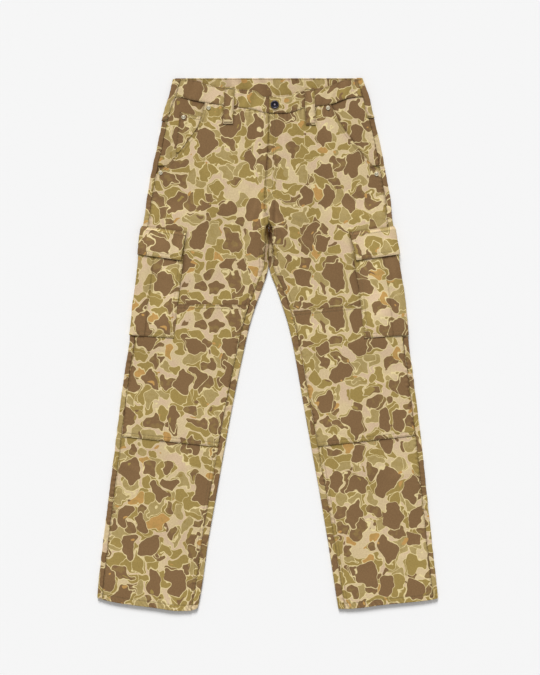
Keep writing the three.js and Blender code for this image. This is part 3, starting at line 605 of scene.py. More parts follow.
def cloth_material():
    n = Nodes("twill")
    cloth = n.add("Attribute", attribute_name="cloth").outputs["Vector"]
    place = n.scaled(cloth, 1 / MM)
    wide = n.vector("SUBTRACT", n.noise(place, 46).outputs["Color"], (0.5, 0.5, 0.5))
    fine = n.vector("SUBTRACT", n.noise(place, 17).outputs["Color"], (0.5, 0.5, 0.5))
    tiny = n.vector("SUBTRACT", n.noise(place, 8).outputs["Color"], (0.5, 0.5, 0.5))
    bent = n.vector("ADD", place, n.vector("ADD", n.scaled(wide, 30), n.scaled(fine, 15)))
    bent = n.vector("ADD", bent, n.scaled(tiny, 3))
    colour = n.mixed(n.span(n.noise(place, 40).outputs[0], 0.4, 0.6), linear(SAND), linear(SAND_WARM))
    patchy = n.noise(place, 13, 1.0).outputs[0]
    for k, (spacing, stretch, gap, small, large, shown, halo, spread_out, fills) in enumerate(PRINT_LAYERS):
        at = n.vector("MULTIPLY", bent, (1 / spacing, stretch / spacing, 0))
        at = n.vector("ADD", at, (7.3 * k, 3.1 * k, 0))
        look = {"Vector": at, "Scale": 1.0, "Randomness": spread_out}
        near = n.add("TexVoronoi", look, voronoi_dimensions="2D", feature="F1")
        edge = n.add("TexVoronoi", look, voronoi_dimensions="2D", feature="DISTANCE_TO_EDGE")
        pick = n.add("SeparateColor", {0: near.outputs["Color"]})
        radius = n.span(pick.outputs[0], 0, 1, small / spacing, large / spacing)
        inside = n.maths("SMOOTH_MIN", n.maths("SUBTRACT", edge.outputs["Distance"], gap / spacing),
                         n.maths("SUBTRACT", radius, near.outputs["Distance"]), BLOB_ROUND)
        absent = n.maths("GREATER_THAN", pick.outputs[2], shown)
        inside = n.maths("MULTIPLY", n.maths("SUBTRACT", inside, absent), spacing)
        colour = n.mixed(n.span(inside, -halo - PRINT_SOFT, -halo + PRINT_SOFT), colour, linear(HALO))
        fill = n.mixed(n.span(patchy, 0.5, 0.64, 0, WASH if k < 3 else 0), n.chosen(pick.outputs[1], fills), linear(MUSTARD))
        colour = n.mixed(n.span(inside, -PRINT_SOFT, PRINT_SOFT), colour, fill)
    # The shade attribute is painted shade and light: it darkens the print at seams, creases and beside pieces and
    # lightens it on ridges, with a warm tint in the dark.
    shade = n.add("Attribute", attribute_name="shade").outputs["Fac"]
    diagonal = n.add("TexWave", {"Vector": place, "Scale": WEAVE_SCALE, "Distortion": 0.6, "Detail": 1.0},
                     bands_direction="DIAGONAL").outputs["Fac"]
    slub = n.noise(place, 3.2, 3.0).outputs[0]
    cloudy = n.noise(place, 120, 2.0).outputs[0]
    tone = n.maths("ADD", n.maths("ADD", shade, 1.0), n.span(diagonal, 0, 1, -0.05, 0.05))
    tone = n.maths("ADD", tone, n.span(slub, 0.3, 0.7, -0.07, 0.07))
    tone = n.maths("ADD", tone, n.span(cloudy, 0.3, 0.7, -0.04, 0.04))
    tone = n.maths("MAXIMUM", tone, DARKEST)
    warm = n.vector("ADD", n.scaled(WARM_SHADE, n.maths("SUBTRACT", 1.0, tone)), tone)
    n.join(n.vector("MULTIPLY", colour, warm), n.shader.inputs["Base Color"])
    bump = n.add("Bump", {"Height": n.maths("ADD", diagonal, n.maths("MULTIPLY", slub, 0.8)), "Distance": 0.00008,
                          "Strength": 0.7})
    n.join(bump.outputs[0], n.shader.inputs["Normal"])
    n.shader.inputs["Roughness"].default_value = 0.92
    n.shader.inputs["Specular IOR Level"].default_value = 0.2
    return n.material


def thread_material():
    n = Nodes("thread")
    place = n.add("TexCoord").outputs["Object"]
    shade = n.add("TexNoise", {"Vector": place, "Scale": 140.0, "Detail": 2.0}).outputs[0]
    colour = n.mixed(n.span(shade, 0.35, 0.65), linear(THREAD_DARK), linear(THREAD_PALE))
    n.join(colour, n.shader.inputs["Base Color"])
    n.shader.inputs["Roughness"].default_value = 0.6
    return n.material


def metal_material(name, colour, wear_and_highlight, rough, metallic, centre, radius):
    """Metal with fine scratches; the middle has a second colour, which on the button is a painted highlight, the rim
    wears to it in patches, and the ring between them is darker.
    """
    n = Nodes(name)
    place = n.add("TexCoord").outputs["Object"]
    apart = n.vector("SUBTRACT", place, tuple(v * MM for v in centre))
    flat = n.vector("MULTIPLY", apart, (1 / (radius * MM), 1 / (radius * MM), 0))
    reach = n.add("VectorMath", {0: flat}, operation="LENGTH").outputs["Value"]
    grain = n.add("TexNoise", {"Vector": place, "Scale": 900.0, "Detail": 4.0}).outputs[0]
    middle = n.span(reach, 0.14, 0.22, 1, 0)
    rim = n.maths("MULTIPLY", n.span(reach, 0.74, 0.9), n.span(grain, 0.5, 0.6, 0, 0.5))
    shown = n.mixed(n.maths("MAXIMUM", middle, rim), linear(colour), linear(wear_and_highlight))
    trough = n.maths("MULTIPLY", n.span(reach, 0.3, 0.42), n.span(reach, 0.62, 0.72, 1, 0))
    shown = n.scaled(shown, n.maths("SUBTRACT", 1.0, n.maths("MULTIPLY", trough, 0.5)))
    n.join(shown, n.shader.inputs["Base Color"])
    n.join(n.span(grain, 0.3, 0.7, rough - 0.1, rough + 0.14), n.shader.inputs["Roughness"])
    n.join(n.add("Bump", {"Height": grain, "Distance": 0.00004, "Strength": 0.4}).outputs[0], n.shader.inputs["Normal"])
    n.shader.inputs["Metallic"].default_value = metallic
    return n.material


twill = cloth_material()
thread = thread_material()

# Rows of stitches, gathered while the pieces are made and then built as one mesh for each part of the garment

STITCH_PITCH = 3.3
STITCH_LENGTH = 2.5
STITCH_RADIUS = 0.34
STITCH_FLATNESS = 0.7
STITCH_RINGS = ((-0.5, 0.35), (-0.28, 1.0), (0.28, 1.0), (0.5, 0.35))
STITCH_CORNERS = 4
TACK_PITCH = 0.62
TACK_REACH = 1.1
stitches = {}


def along_line(points, at):
    length = np.concatenate([[0], np.linalg.norm(np.diff(points, axis=0), axis=1).cumsum()])
    return length[-1], lambda values, d: np.stack([np.interp(d, length, values[:, k]) for k in range(3)], axis=1)


def stitch_row(group, points, normals, start=0.0, end=0.0, pitch=STITCH_PITCH):
    """Stitches along a line of points on the cloth, short of its two ends by start and end."""
    total, place = along_line(points, None)
    count = int((total - start - end) // pitch)
    if count < 1:
        return
    middle = start + (np.arange(count) + 0.5) * pitch
    ahead = place(points, middle + 0.5) - place(points, middle - 0.5)
    stitches.setdefault(group, []).append((place(points, middle), ahead, place(normals, middle)))


def tack(group, centre, direction, length, up=(0, 0, 1)):
    """A bar tack: close stitches across a short line."""
    direction = np.array(direction, float) / np.linalg.norm(direction)
    up = np.array(up, float)
    across = np.cross(up, direction)
    steps = np.arange(-length / 2, length / 2, TACK_PITCH)[:, None]
    points = np.array(centre, float) + steps * direction
    points[:, 2] += 0.1
    count = len(points)
    stitches.setdefault(group, []).append((points, np.tile(across, (count, 1)), np.tile(up, (count, 1))))


def stitch_grid(group, outer, inner, axis, index, start=0.0, end=0.0, first=0, last=None):
    """Stitches along one row or column of a piece's own points."""
    line = (slice(first, last), index) if axis == "column" else (index, slice(first, last))
    away = outer[line] - inner[line]
    normal = away / np.maximum(np.linalg.norm(away, axis=1, keepdims=True), 1e-6)
    stitch_row(group, outer[line] + 0.08 * normal, normal, start, end)


def nearest(values, wanted):
    return int(np.abs(np.asarray(values) - wanted).argmin())


def make_stitches(material):
    turn = (np.arange(STITCH_CORNERS) + 0.5) * 2 * math.pi / STITCH_CORNERS
    for group, rows in stitches.items():
        centre, ahead, up = (np.concatenate(part) for part in zip(*rows))
        ahead = ahead / np.linalg.norm(ahead, axis=1, keepdims=True)
        across = np.cross(up, ahead)
        across = across / np.linalg.norm(across, axis=1, keepdims=True)
        up = np.cross(ahead, across)
        rings = []
        for share, thick in STITCH_RINGS:
            for a in turn:
                radius = STITCH_RADIUS * thick
                rings.append(centre + ahead * share * STITCH_LENGTH + across * radius * math.cos(a)
                             + up * radius * STITCH_FLATNESS * math.sin(a))
        points = np.stack(rings, axis=1).reshape(-1, 3)
        points[:, 2] = np.maximum(points[:, 2], 0.02)
        faces = []
        size = len(STITCH_RINGS) * STITCH_CORNERS
        for r in range(len(STITCH_RINGS) - 1):
            for k in range(STITCH_CORNERS):
                after = (k + 1) % STITCH_CORNERS
                low = r * STITCH_CORNERS
                faces.append((low + k, low + after, low + STITCH_CORNERS + after, low + STITCH_CORNERS + k))
        faces.append(tuple(range(STITCH_CORNERS))[::-1])
        faces.append(tuple(range(size - STITCH_CORNERS, size)))
        all_faces = np.array(faces)[None] + (np.arange(len(centre)) * size)[:, None, None]
        piece = new_mesh(f"stitches_{group}", points, all_faces.reshape(-1, 4).tolist(), material)


# Front panels

ROW_STEP = 2.5
COLUMN_STEP = 3.8
PANEL_WIDTH = 220
TOP_STITCH_STEPS = (11.4, 12.2, 13, 13.8, 15, 17, 18.2, 19, 19.8, 21)
PANEL_ROWS = spread(WAIST_SEAM, HEM_LINE, ROW_STEP, FINE_STEPS, HEM_STEPS)
FRONT_COLUMNS = spread(0, PANEL_WIDTH, COLUMN_STEP, EDGE_STEPS, EDGE_STEPS + TOP_STITCH_STEPS) / PANEL_WIDTH
FROM_TOP = WAIST_SEAM - PANEL_ROWS
FROM_HEM = PANEL_ROWS - HEM_LINE
FLY_ROWS = (13, 19)
FLY_STITCH_FOOT = 302
CROTCH_OPENING = 4


def inside_wrap(row):
    """How far the back panel turns onto the front over the leg's inside edge, seen from above."""
    opened = (1 - smooth(FRONT_CROTCH - 14, FRONT_CROTCH, row)) * smooth(LEGS_PART, LEGS_MEET, row)
    seam = mix(INSEAM_IN + SEAM, SEAM / 2, smooth(100, FRONT_CROTCH, row))
    return seam + CROTCH_GAPE * opened


def crotch_opening(row):
    """How far the two legs' upper edges draw apart just below the crotch."""
    return CROTCH_OPENING * (0.45 * smooth(158, 170, row) + 0.55 * smooth(204, 222, row)) * (1 - smooth(236, 245, row))


def front_edges(side, row):
    seam = cloth_edge(side, row) - SIDES[side] * (SIDE_SEAM_IN + SEAM)
    outer = np.where(row > SLASH_FOOT, SLASH_EDGE[side](row), seam)
    lap = FLY_LAP * smooth(FLY_FOOT + 6, FLY_FOOT + 40, row) if side == "left" else 0
    centre = fly_edge(row) + SIDES[side] * SEAM / 2 + lap
    inside = EDGE[side]["in"](row) + SIDES[side] * (inside_wrap(row) + crotch_opening(row))
    return outer, np.where(row >= FRONT_CROTCH, centre, inside)


def fly_rise(side, x, row):
    """The right front is raised where it laps over the left one at the fly."""
    if side == "left":
        return 0
    past = x - fly_edge(row) - FLY_LAP
    return (PANEL_WALL + LAY) * smooth(FLY_FOOT - 36, FLY_FOOT - 16, row) * (1 - smooth(2, FLY_RISE_RUN, past))


def shade_beside_pieces(side, x, y):
    """Painted shade on the front panel beside what lies on it: the knee patch, the cargo pocket and its flap, the right
    front's lap at the fly and the belt loop.
    """
    shape = PATCHES[side]
    outer, inner = front_edges(side, y)
    column = np.clip((x - outer) / (inner - outer), 0, 1)
    above = y - mix(shape["top_out"], shape["top_in"], column)
    below = mix(shape["bottom_out"], shape["bottom_in"], column) - y
    shade = 0
    for distance in (above, below):
        shade = shade + seam_shade(distance, 0.34, 3.2, x) * smooth(-3, 0, distance)
    s = from_edge(side, x, y) + 1.2
    row = y + POCKET_TILT * s
    beside = s - POCKET_REACH
    height = smooth(POCKET_BOTTOM - 6, POCKET_BOTTOM - 3, row) * (1 - smooth(FLAP_TOP, FLAP_TOP + 3, row))
    dark = mix(0.1, 0.5, smooth(150, 166, row))
    shade = shade - dark * np.exp(-((beside / 4) ** 2)) * smooth(-4, 0, beside) * height
    foot = POCKET_BOTTOM - (y + POCKET_BOTTOM_TILT * s)
    width = 1 - smooth(POCKET_REACH, POCKET_REACH + 3, s)
    shade = shade - 0.26 * np.exp(-((foot / 3.2) ** 2)) * smooth(-4, 0, foot) * width
    head = row - FLAP_TOP
    shade = shade - 0.25 * np.exp(-((head / 3) ** 2)) * smooth(-3, 0, head) * width
    past = fly_edge(y) - x
    shade = shade - 0.6 * np.exp(-((past / 1.8) ** 2)) * (past > -0.5) * smooth(FLY_FOOT, FLY_FOOT + 24, y) * (side == "left")
    loop = FRONT_LOOPS[side]
    apart = np.abs(x - loop["x"] - loop["lean"] * (loop["top"] - y) / LOOP_LENGTH) - LOOP_WIDTH / 2
    apart = np.maximum(apart, loop["top"] - LOOP_LENGTH - y)
    return shade - 0.35 * np.exp(-((np.maximum(apart, 0) / 3) ** 2))


def make_front(side):
    row = PANEL_ROWS[:, None]
    outer_x, inner_x = front_edges(side, row)
    x = mix(outer_x, inner_x, FRONT_COLUMNS[None, :])
    y = row_height(side, x, row)
    from_outer = FRONT_COLUMNS[None, :] * PANEL_WIDTH
    from_inner = PANEL_WIDTH - from_outer
    seed = 3 + SIDES[side]
    fly = (row > FLY_STITCH_FOOT) & (side == "right")
    relief = sewn(from_outer, y, (FIRST_ROW,), seed) + sewn(from_inner, y, (FIRST_ROW,), seed + 5)
    relief = relief - np.where(row > SLASH_FOOT, STITCH_PULL, 0) * np.exp(-((from_outer - SECOND_ROW) ** 2))
    relief = relief - np.where(row < FRONT_CROTCH, STITCH_PULL, 0) * np.exp(-((from_inner - SECOND_ROW) ** 2))
    for place_in in FLY_ROWS:
        relief = relief - np.where(fly, STITCH_PULL, 0) * np.exp(-((from_inner - place_in) ** 2))
    relief = relief + sewn(FROM_HEM[:, None], x + 0.8 * FROM_HEM[:, None], (HEM_ROW,), seed + 9, 0.26, 12)
    relief = relief + sewn(FROM_TOP[:, None], x, (), seed + 3, 0.3, 16)
    shade = 0.75 * relief + seam_shade(from_outer, 0.34, 1.3, y) + seam_shade(from_inner, 0.3, 1.3, y + 40)
    shade = shade + seam_shade(FROM_TOP[:, None], 0.16, 2)
    shade = shade + shade_beside_pieces(side, x, y) + FOLD_SHADE * line_rise(CREASES, x, y)
    shade = shade + np.where(row > SLASH_FOOT, pucker_shade(from_outer, y, seed, 5, 3.4, 0.42), pucker_shade(from_outer, y, seed, 3))
    shade = shade + np.where(row < FRONT_CROTCH, 1, 0) * pucker_shade(from_inner, y, seed + 1)
    # Painted shade along the leg's inside edge just below the crotch.
    shade = shade + seam_shade(from_inner, 0.6, 2.4, y) * smooth(150, 190, row) * (row < FRONT_CROTCH + 4)
    shade = shade + pucker_shade(FROM_TOP[:, None], x, seed + 2, 2, 3)
    shade = shade + pucker_shade(FROM_HEM[:, None], x + 0.8 * FROM_HEM[:, None], seed + 4, 7, 4, 0.16)
    top = top_face(side, x, y) + fly_rise(side, x, row) + relief
    columns_in = np.minimum(FRONT_COLUMNS, 1 - FRONT_COLUMNS) * PANEL_WIDTH
    draw = edge_round(np.minimum(FROM_TOP, FROM_HEM), columns_in, PANEL_WALL)
    place = stack(x, y, 0)[..., :2]
    outer, inner = stack(x, y, top - draw), stack(x, y, top - panel_wall(row) + draw)
    piece = shell(f"front_{side}_cloth", outer, inner, place, shade, twill, f"front_{side}")
    laid(place)

    near = [nearest(from_outer[0], d) for d in (FIRST_ROW, SECOND_ROW)]
    far = [nearest(from_inner[0], d) for d in (FIRST_ROW, SECOND_ROW)]
    foot = nearest(PANEL_ROWS, SLASH_FOOT)
    crotch = nearest(PANEL_ROWS, FRONT_CROTCH - 4)
    hem = nearest(FROM_HEM, HEM_ROW)
    for column in near:
        stitch_grid("panels", outer, inner, "column", column, 1, 1, 0, foot)
    stitch_grid("panels", outer, inner, "column", near[0], 1, 1, foot, None)
    for column in far:
        stitch_grid("panels", outer, inner, "column", column, 1, 1, crotch, None)
    stitch_grid("panels", outer, inner, "row", hem, 1, 1)
    if side == "right":
        stitch_grid("panels", outer, inner, "column", far[0], 1, 1, 0, crotch)
        for place_in in FLY_ROWS:
            column = nearest(from_inner[0], place_in)
            stop = nearest(PANEL_ROWS, FLY_STITCH_FOOT - (FLY_ROWS[1] - place_in))
            stitch_grid("panels", outer, inner, "column", column, 1, 0, 0, stop)
            bend = outer[stop, column:nearest(from_inner[0], FIRST_ROW)]
            drop = np.linspace(0, 1, len(bend)) ** 2
            bend = bend - np.stack([0 * drop, 12 * drop, -0.1 + 0 * drop], axis=1)
            stitch_row("panels", bend, np.tile([0.0, 0, 1], (len(bend), 1)))


# Back panels

ROLL = np.linspace(math.pi / 2, -math.pi / 2, 9)
CURL_STEPS = 10
UNDER_COLUMNS = 34
SEAM_STRIP_STEPS = (0.25, 0.7, 1.3, 2, 2.8, 3.8)
CURL_SHARES = (0.2, 0.4, 0.55, 0.7, 0.8, 0.88, 0.94, 0.98, 1)


def back_section(side, row):
    """The back panel's section at each row: x, height and the outward direction."""
    inward = -SIDES[side]
    radius = roll_radius(row)
    start = cloth_edge(side, row)
    base = edge_rise(row)
    columns = []

    def put(x, z, nx, nz):
        columns.append([np.broadcast_to(v, row.shape) for v in (x, z, nx, nz)])

    for reach in spread(SIDE_SEAM_IN, 3.4, 1.2, SEAM_STRIP_STEPS, ()):
        x = start + inward * reach
        put(x, top_face(side, x, row), 0, 1)
    for a in ROLL:
        put(start + inward * radius * (1 - math.cos(a)), base + radius * (1 + math.sin(a)),
            -inward * math.cos(a), math.sin(a))
    curled = 1 - smooth(LEGS_MEET, FRONT_CROTCH + 4, row)
    arc = mix(radius, math.pi * radius, curled)
    bent = np.maximum(curled, 1e-6)
    curl = []
    for k in range(1, CURL_STEPS + 1):
        length = arc * k / CURL_STEPS
        angle = length * bent / radius
        curl.append([radius / bent * np.sin(angle), radius / bent * (1 - np.cos(angle)), angle])
    reach, rise, angle = curl[-1]
    flat = mix(0.6, np.maximum(0.6, inside_wrap(row) - radius - SEAM), smooth(0.85, 1, curled))
    for share in CURL_SHARES:
        curl.append([reach + flat * share * np.cos(angle), rise + flat * share * np.sin(angle), angle])
    lean = crotch_opening(row)
    for point in curl:
        point[0] = point[0] - lean * np.clip(point[1] / (2 * radius), 0, 1)
    furthest = np.max([c[0] for c in curl], axis=0)
    apart = mix(SEAM / 2, TOUCH, smooth(143, 162, row) * (1 - smooth(FRONT_CROTCH, FRONT_CROTCH + 20, row)))
    bend = EDGE[side]["in"](row) - inward * (apart + furthest)
    first = start + inward * (radius + 2)
    for share in np.linspace(0, 1, UNDER_COLUMNS):
        x = mix(first, bend, share)
        inside = smooth(0, 0.1, share) * smooth(1, 0.9, share)
        put(x, underside(side, x, row) + line_rise(BACK_CREASES, x, row) * inside, 0, -1)
    for reach, rise, angle in curl:
        put(bend + inward * reach, rise, inward * np.sin(angle), -np.cos(angle))
    return np.array(columns).transpose(1, 2, 0)


def make_back(side):
    row = PANEL_ROWS
    x, z, nx, nz = back_section(side, row)
    y = row_height(side, x, row[:, None], False)
    along = np.concatenate([np.zeros((len(row), 1)), np.hypot(np.diff(x), np.diff(z)).cumsum(axis=1)], axis=1)
    place = stack(SIDES[side] * along + x[:, :1] + 400, y, 0)[..., :2]
    from_outseam, from_inseam = along, along[:, -1:] - along
    below_crotch = smooth(FRONT_CROTCH, 180, row)[:, None]
    seed = 7 + 2 * SIDES[side]
    relief = sewn(from_outseam, y, (), seed, 0.3, 6) + sewn(from_inseam, y, (), seed + 3, 0.3, 6) * below_crotch
    relief = relief + sewn(FROM_HEM[:, None], x + 0.8 * FROM_HEM[:, None], (HEM_ROW,), seed + 9, 0.26, 12)
    relief = relief * smooth(-0.2, 0.9, nz)
    shade = 0.75 * relief + seam_shade(from_outseam) + seam_shade(from_inseam) * below_crotch
    shade = shade + pucker_shade(from_outseam, y, seed, 4) + pucker_shade(from_inseam, y, seed + 1, 4) * below_crotch
    # Painted shade near the inseam where the legs draw apart below the crotch.
    shade = shade - 0.9 * (crotch_opening(row) / CROTCH_OPENING)[:, None] * smooth(17, 9, from_inseam)
    columns_in = np.minimum(from_outseam, from_inseam).min(axis=0)
    draw = edge_round(np.minimum(FROM_TOP, FROM_HEM), columns_in, PANEL_WALL)
    wall = panel_wall(row)[:, None] - draw
    face = relief - draw
    outer = stack(x + nx * face, y, np.maximum(0, z + nz * face))
    inner = stack(x - nx * wall, y, np.maximum(0.01, z - nz * wall))
    piece = shell(f"back_{side}_cloth", outer, inner, place, shade, twill, f"back_{side}")
    laid(place)
    hem = nearest(FROM_HEM, HEM_ROW)
    strip = nearest(from_outseam[0], SIDE_SEAM_IN)
    curl = nearest(from_inseam[-1], INSEAM_IN)
    stitch_grid("panels", outer, inner, "row", hem, 1, 1, 0, strip)
    stitch_grid("panels", outer, inner, "row", hem, 1, 1, curl, None)


# Waistband

BAND_HEIGHT = 38
BAND_ROWS = spread(0, BAND_HEIGHT, 2.6, FINE_STEPS, FINE_STEPS)
BAND_UPS = BAND_ROWS / BAND_HEIGHT
INSIDE_SHADE = -0.08


def band_rise(side, x):
    if side == "left":
        return 0
    return (BAND_WALL + LAY) * (1 - smooth(FLY_LAP + 6, FLY_LAP + 36, x))


def band_face(side, x, y):
    lens = smooth(2, CROWN_RUN, SIDES[side] * (EDGE[side]["out"](y) - x))
    return 2 * BAND_RADIUS + 0.5 * lens + band_rise(side, x)


def front_band(side, depth):
    """Points of one half of the front waistband, from the side edge to its end."""
    inward = -SIDES[side]
    out = EDGE[side]["out"](WAIST_SEAM)
    outer, inner = front_edges(side, np.array(float(WAIST_SEAM)))
    x = spread(out + inward * BAND_RADIUS, float(inner), 2.4, (), FINE_STEPS)[:, None]
    lean = 1 - smooth(0, abs(outer - out), np.abs(x - out))
    y = mix(band_bottom(x) + SEAM, band_top(x), BAND_UPS[None, :])
    shifted = x + lean * (EDGE[side]["out"](y) - out)
    return stack(shifted, y, band_face(side, shifted, y) - depth)


def band_roll(side, depth):
    inward = -SIDES[side]
    out = EDGE[side]["out"](WAIST_SEAM)
    t = np.linspace(0, 1, 11)[1:-1, None]
    a = math.pi / 2 - math.pi * t
    bottom = mix(band_bottom(out) + SEAM, WAIST_SEAM + SEAM, t)
    top = mix(band_top(out), WAIST_TOP, t)
    y = mix(bottom, top, BAND_UPS[None, :])
    radius = BAND_RADIUS - depth
    x = EDGE[side]["out"](y) + inward * (BAND_RADIUS - radius * np.cos(a))
    return stack(x, y, BAND_RADIUS + radius * np.sin(a))


def back_band(depth):
    t = np.linspace(0, 1, 150)[:, None]
    y = mix(WAIST_SEAM + SEAM, WAIST_TOP, BAND_UPS[None, :])
    x = mix(EDGE["left"]["out"](y) + BAND_RADIUS, EDGE["right"]["out"](y) - BAND_RADIUS, t)
    return stack(x, y, depth)


def make_waistband():
    parts = {}

    def strip(depth):
        parts["list"] = [
            front_band("left", depth)[::-1], band_roll("left", depth), back_band(depth),
            band_roll("right", depth)[::-1], front_band("right", depth),
        ]
        return np.concatenate(parts["list"])

    outer, inner = strip(0), strip(BAND_WALL)
    counts = np.cumsum([len(p) for p in parts["list"]])
    middle = outer[:, len(BAND_UPS) // 2]
    along = np.concatenate([[0], np.hypot(*np.diff(middle, axis=0)[:, [0, 2]].T).cumsum()])
    columns_in = np.minimum(BAND_ROWS, BAND_HEIGHT - BAND_ROWS)
    ends_in = np.minimum(along, along[-1] - along)
    relief = sewn(columns_in[None, :], along[:, None], (FIRST_ROW,), 5, 0.2, 7)
    relief = relief + 0.16 * wave(along[:, None] + 0.4 * BAND_ROWS[None, :], 11, 31)
    relief = relief * smooth(0, 4, ends_in)[:, None]
    draw = edge_round(ends_in, columns_in, BAND_WALL)
    shift = ((draw - np.clip(relief, -0.2, 0.3)) / BAND_WALL)[..., None]
    shade = 0.75 * relief + seam_shade(columns_in[None, :], 0.16, 1.4) + seam_shade(ends_in[:, None], 0.4, 1.6)
    shade = shade + pucker_shade(columns_in[None, :], along[:, None], 9, 3, 3)
    # Painted shade on the front band beside each belt loop.
    for side in SIDES:
        loop = FRONT_LOOPS[side]
        apart = np.abs(outer[..., 0] - loop["x"]) - LOOP_WIDTH / 2
        on_front = outer[..., 2] > BAND_WALL + 1
        shade = shade - 0.32 * np.exp(-((np.maximum(apart, 0) / 1.8) ** 2)) * on_front
    # Painted shade on the back band: a little over all of it, and more towards and under the front band's top edge.
    is_back = ((np.arange(len(outer)) >= counts[1] - 2) & (np.arange(len(outer)) < counts[2] + 2))[:, None]
    shade_under_front = np.clip((band_top(outer[..., 0]) + 4 - outer[..., 1]) / 10, 0, 1)
    shade = np.where(is_back, shade + INSIDE_SHADE - 0.25 * shade_under_front, shade)
    place = stack(along[:, None] + 900, BAND_ROWS[None, :] + 700, 0)[..., :2]
    outer, inner = mix(outer, inner, shift), mix(inner, outer, draw[..., None] / BAND_WALL)
    outer[..., 2] = np.maximum(outer[..., 2], 0)
    piece = shell("waistband_cloth", outer, inner, place, shade, twill, "waistband")
    laid(place)
    for row in (nearest(BAND_ROWS, FIRST_ROW), nearest(BAND_ROWS, BAND_HEIGHT - FIRST_ROW)):
        stitch_grid("band", outer, inner, "column", row, 2, 2, 0, counts[1])
        stitch_grid("band", outer, inner, "column", row, 2, 2, counts[2], None)
        stitch_grid("band", inner, outer, "column", row, 2, 2, counts[1], counts[2])
    stitch_grid("band", outer, inner, "row", nearest(along, along[-1] - FIRST_ROW), 2, 2)


# Pocket facings and the coin pocket

FACING_WIDTH = 60


def facing_x(side, row, across):
    seam = cloth_edge(side, row) - SIDES[side] * (SIDE_SEAM_IN + SEAM)
    return mix(seam, SLASH_EDGE[side](row), across)


def facing_top(side, x, row):
    seam = facing_x(side, row, 0)
    across = (x - seam) / (SLASH_EDGE[side](row) - seam)
    return top_face(side, x, row_height(side, x, row)) - (PANEL_WALL + LAY) * smooth(0, 0.85, across)


def make_facing(side):
    rows = spread(WAIST_SEAM, 358, 2.6, FINE_STEPS, FINE_STEPS)
    row = rows[:, None]
    across = spread(0, FACING_WIDTH, 2.6, FINE_STEPS, FINE_STEPS) / FACING_WIDTH
    x = facing_x(side, row, across[None, :])
    lap = np.array([[0.25, 0.5, 0.75, 1]]) * FACING_LAP
    past = np.broadcast_to(lap, (len(rows), 4))
    x = np.concatenate([x, x[:, -1:] - SIDES[side] * lap], axis=1)
    y = row_height(side, x, row)
    to_opening = np.abs(x - SLASH_EDGE[side](row)) * np.sign(SIDES[side] * (x - SLASH_EDGE[side](row)))
    from_seam = np.abs(x - facing_x(side, row, 0))
    relief = sewn(from_seam, y, (), 2 + SIDES[side], 0.25, 6) - 0.15 * smooth(12, 0, to_opening)
    # Painted shade on the facing by its seam, and a painted shadow under the front panel's slash edge.
    shade = 0.75 * relief + seam_shade(from_seam) + seam_shade(np.maximum(to_opening, 0), 0.5, 2.6, y)
    shade = shade + seam_shade(WAIST_SEAM - row, 0.35, 2)
    top = facing_top(side, x, row) + relief
    columns_in = np.concatenate([across * FACING_WIDTH, FACING_WIDTH + past[0]])
    draw = edge_round(np.minimum(WAIST_SEAM - rows, rows - 358), columns_in, PANEL_WALL)
    place = stack(x + 1500, y, 0)[..., :2]
    outer, inner = stack(x, y, top - draw), stack(x, y, top - PANEL_WALL + draw)
    piece = shell(f"pocket_facing_{side}_cloth", outer, inner, place, shade, twill, f"pocket_facing_{side}")
    laid(place)


def make_coin_pocket():
    rows = spread(COIN["top"], COIN["foot"], 2.4, EDGE_STEPS, FINE_STEPS)
    row = rows[:, None]
    outer_x = mix(COIN["outer_foot"], COIN["outer_top"], (row - COIN["foot"]) / (COIN["top"] - COIN["foot"]))
    width = 30
    across = spread(0, width, 2.2, FINE_STEPS, FINE_STEPS) / width
    x = mix(outer_x, SLASH_EDGE["left"](row) - COIN["clear"], across[None, :])
    y = row_height("left", x, row)
    from_top = COIN["top"] - rows
    from_outer = across[None, :] * width
    relief = sewn(from_top[:, None], x, (FIRST_ROW, SECOND_ROW), 4, 0.2, 6) + sewn(from_outer, y, (FIRST_ROW,), 6, 0.15)
    face = facing_top("left", x, row) + LAY
    draw = edge_round(np.minimum(from_top, rows - COIN["foot"]), np.minimum(across, 1 - across) * width, PATCH_WALL)
    place = stack(x + 1800, y + 300, 0)[..., :2]
    outer, inner = stack(x, y, face + PATCH_WALL + relief - draw), stack(x, y, face + draw)
    shade = 0.75 * relief + seam_shade(from_top[:, None], 0.3, 1.6) + seam_shade(from_outer)
    piece = shell("coin_pocket_cloth", outer, inner, place, shade, twill, "coin_pocket")
    laid(place)
    for d in (FIRST_ROW, SECOND_ROW):
        stitch_grid("band", outer, inner, "row", nearest(from_top, d), 1, 1)
    stitch_grid("band", outer, inner, "column", nearest(from_outer[0], FIRST_ROW), 1, 1)


# Knee patches

PATCH_LENGTH = 270


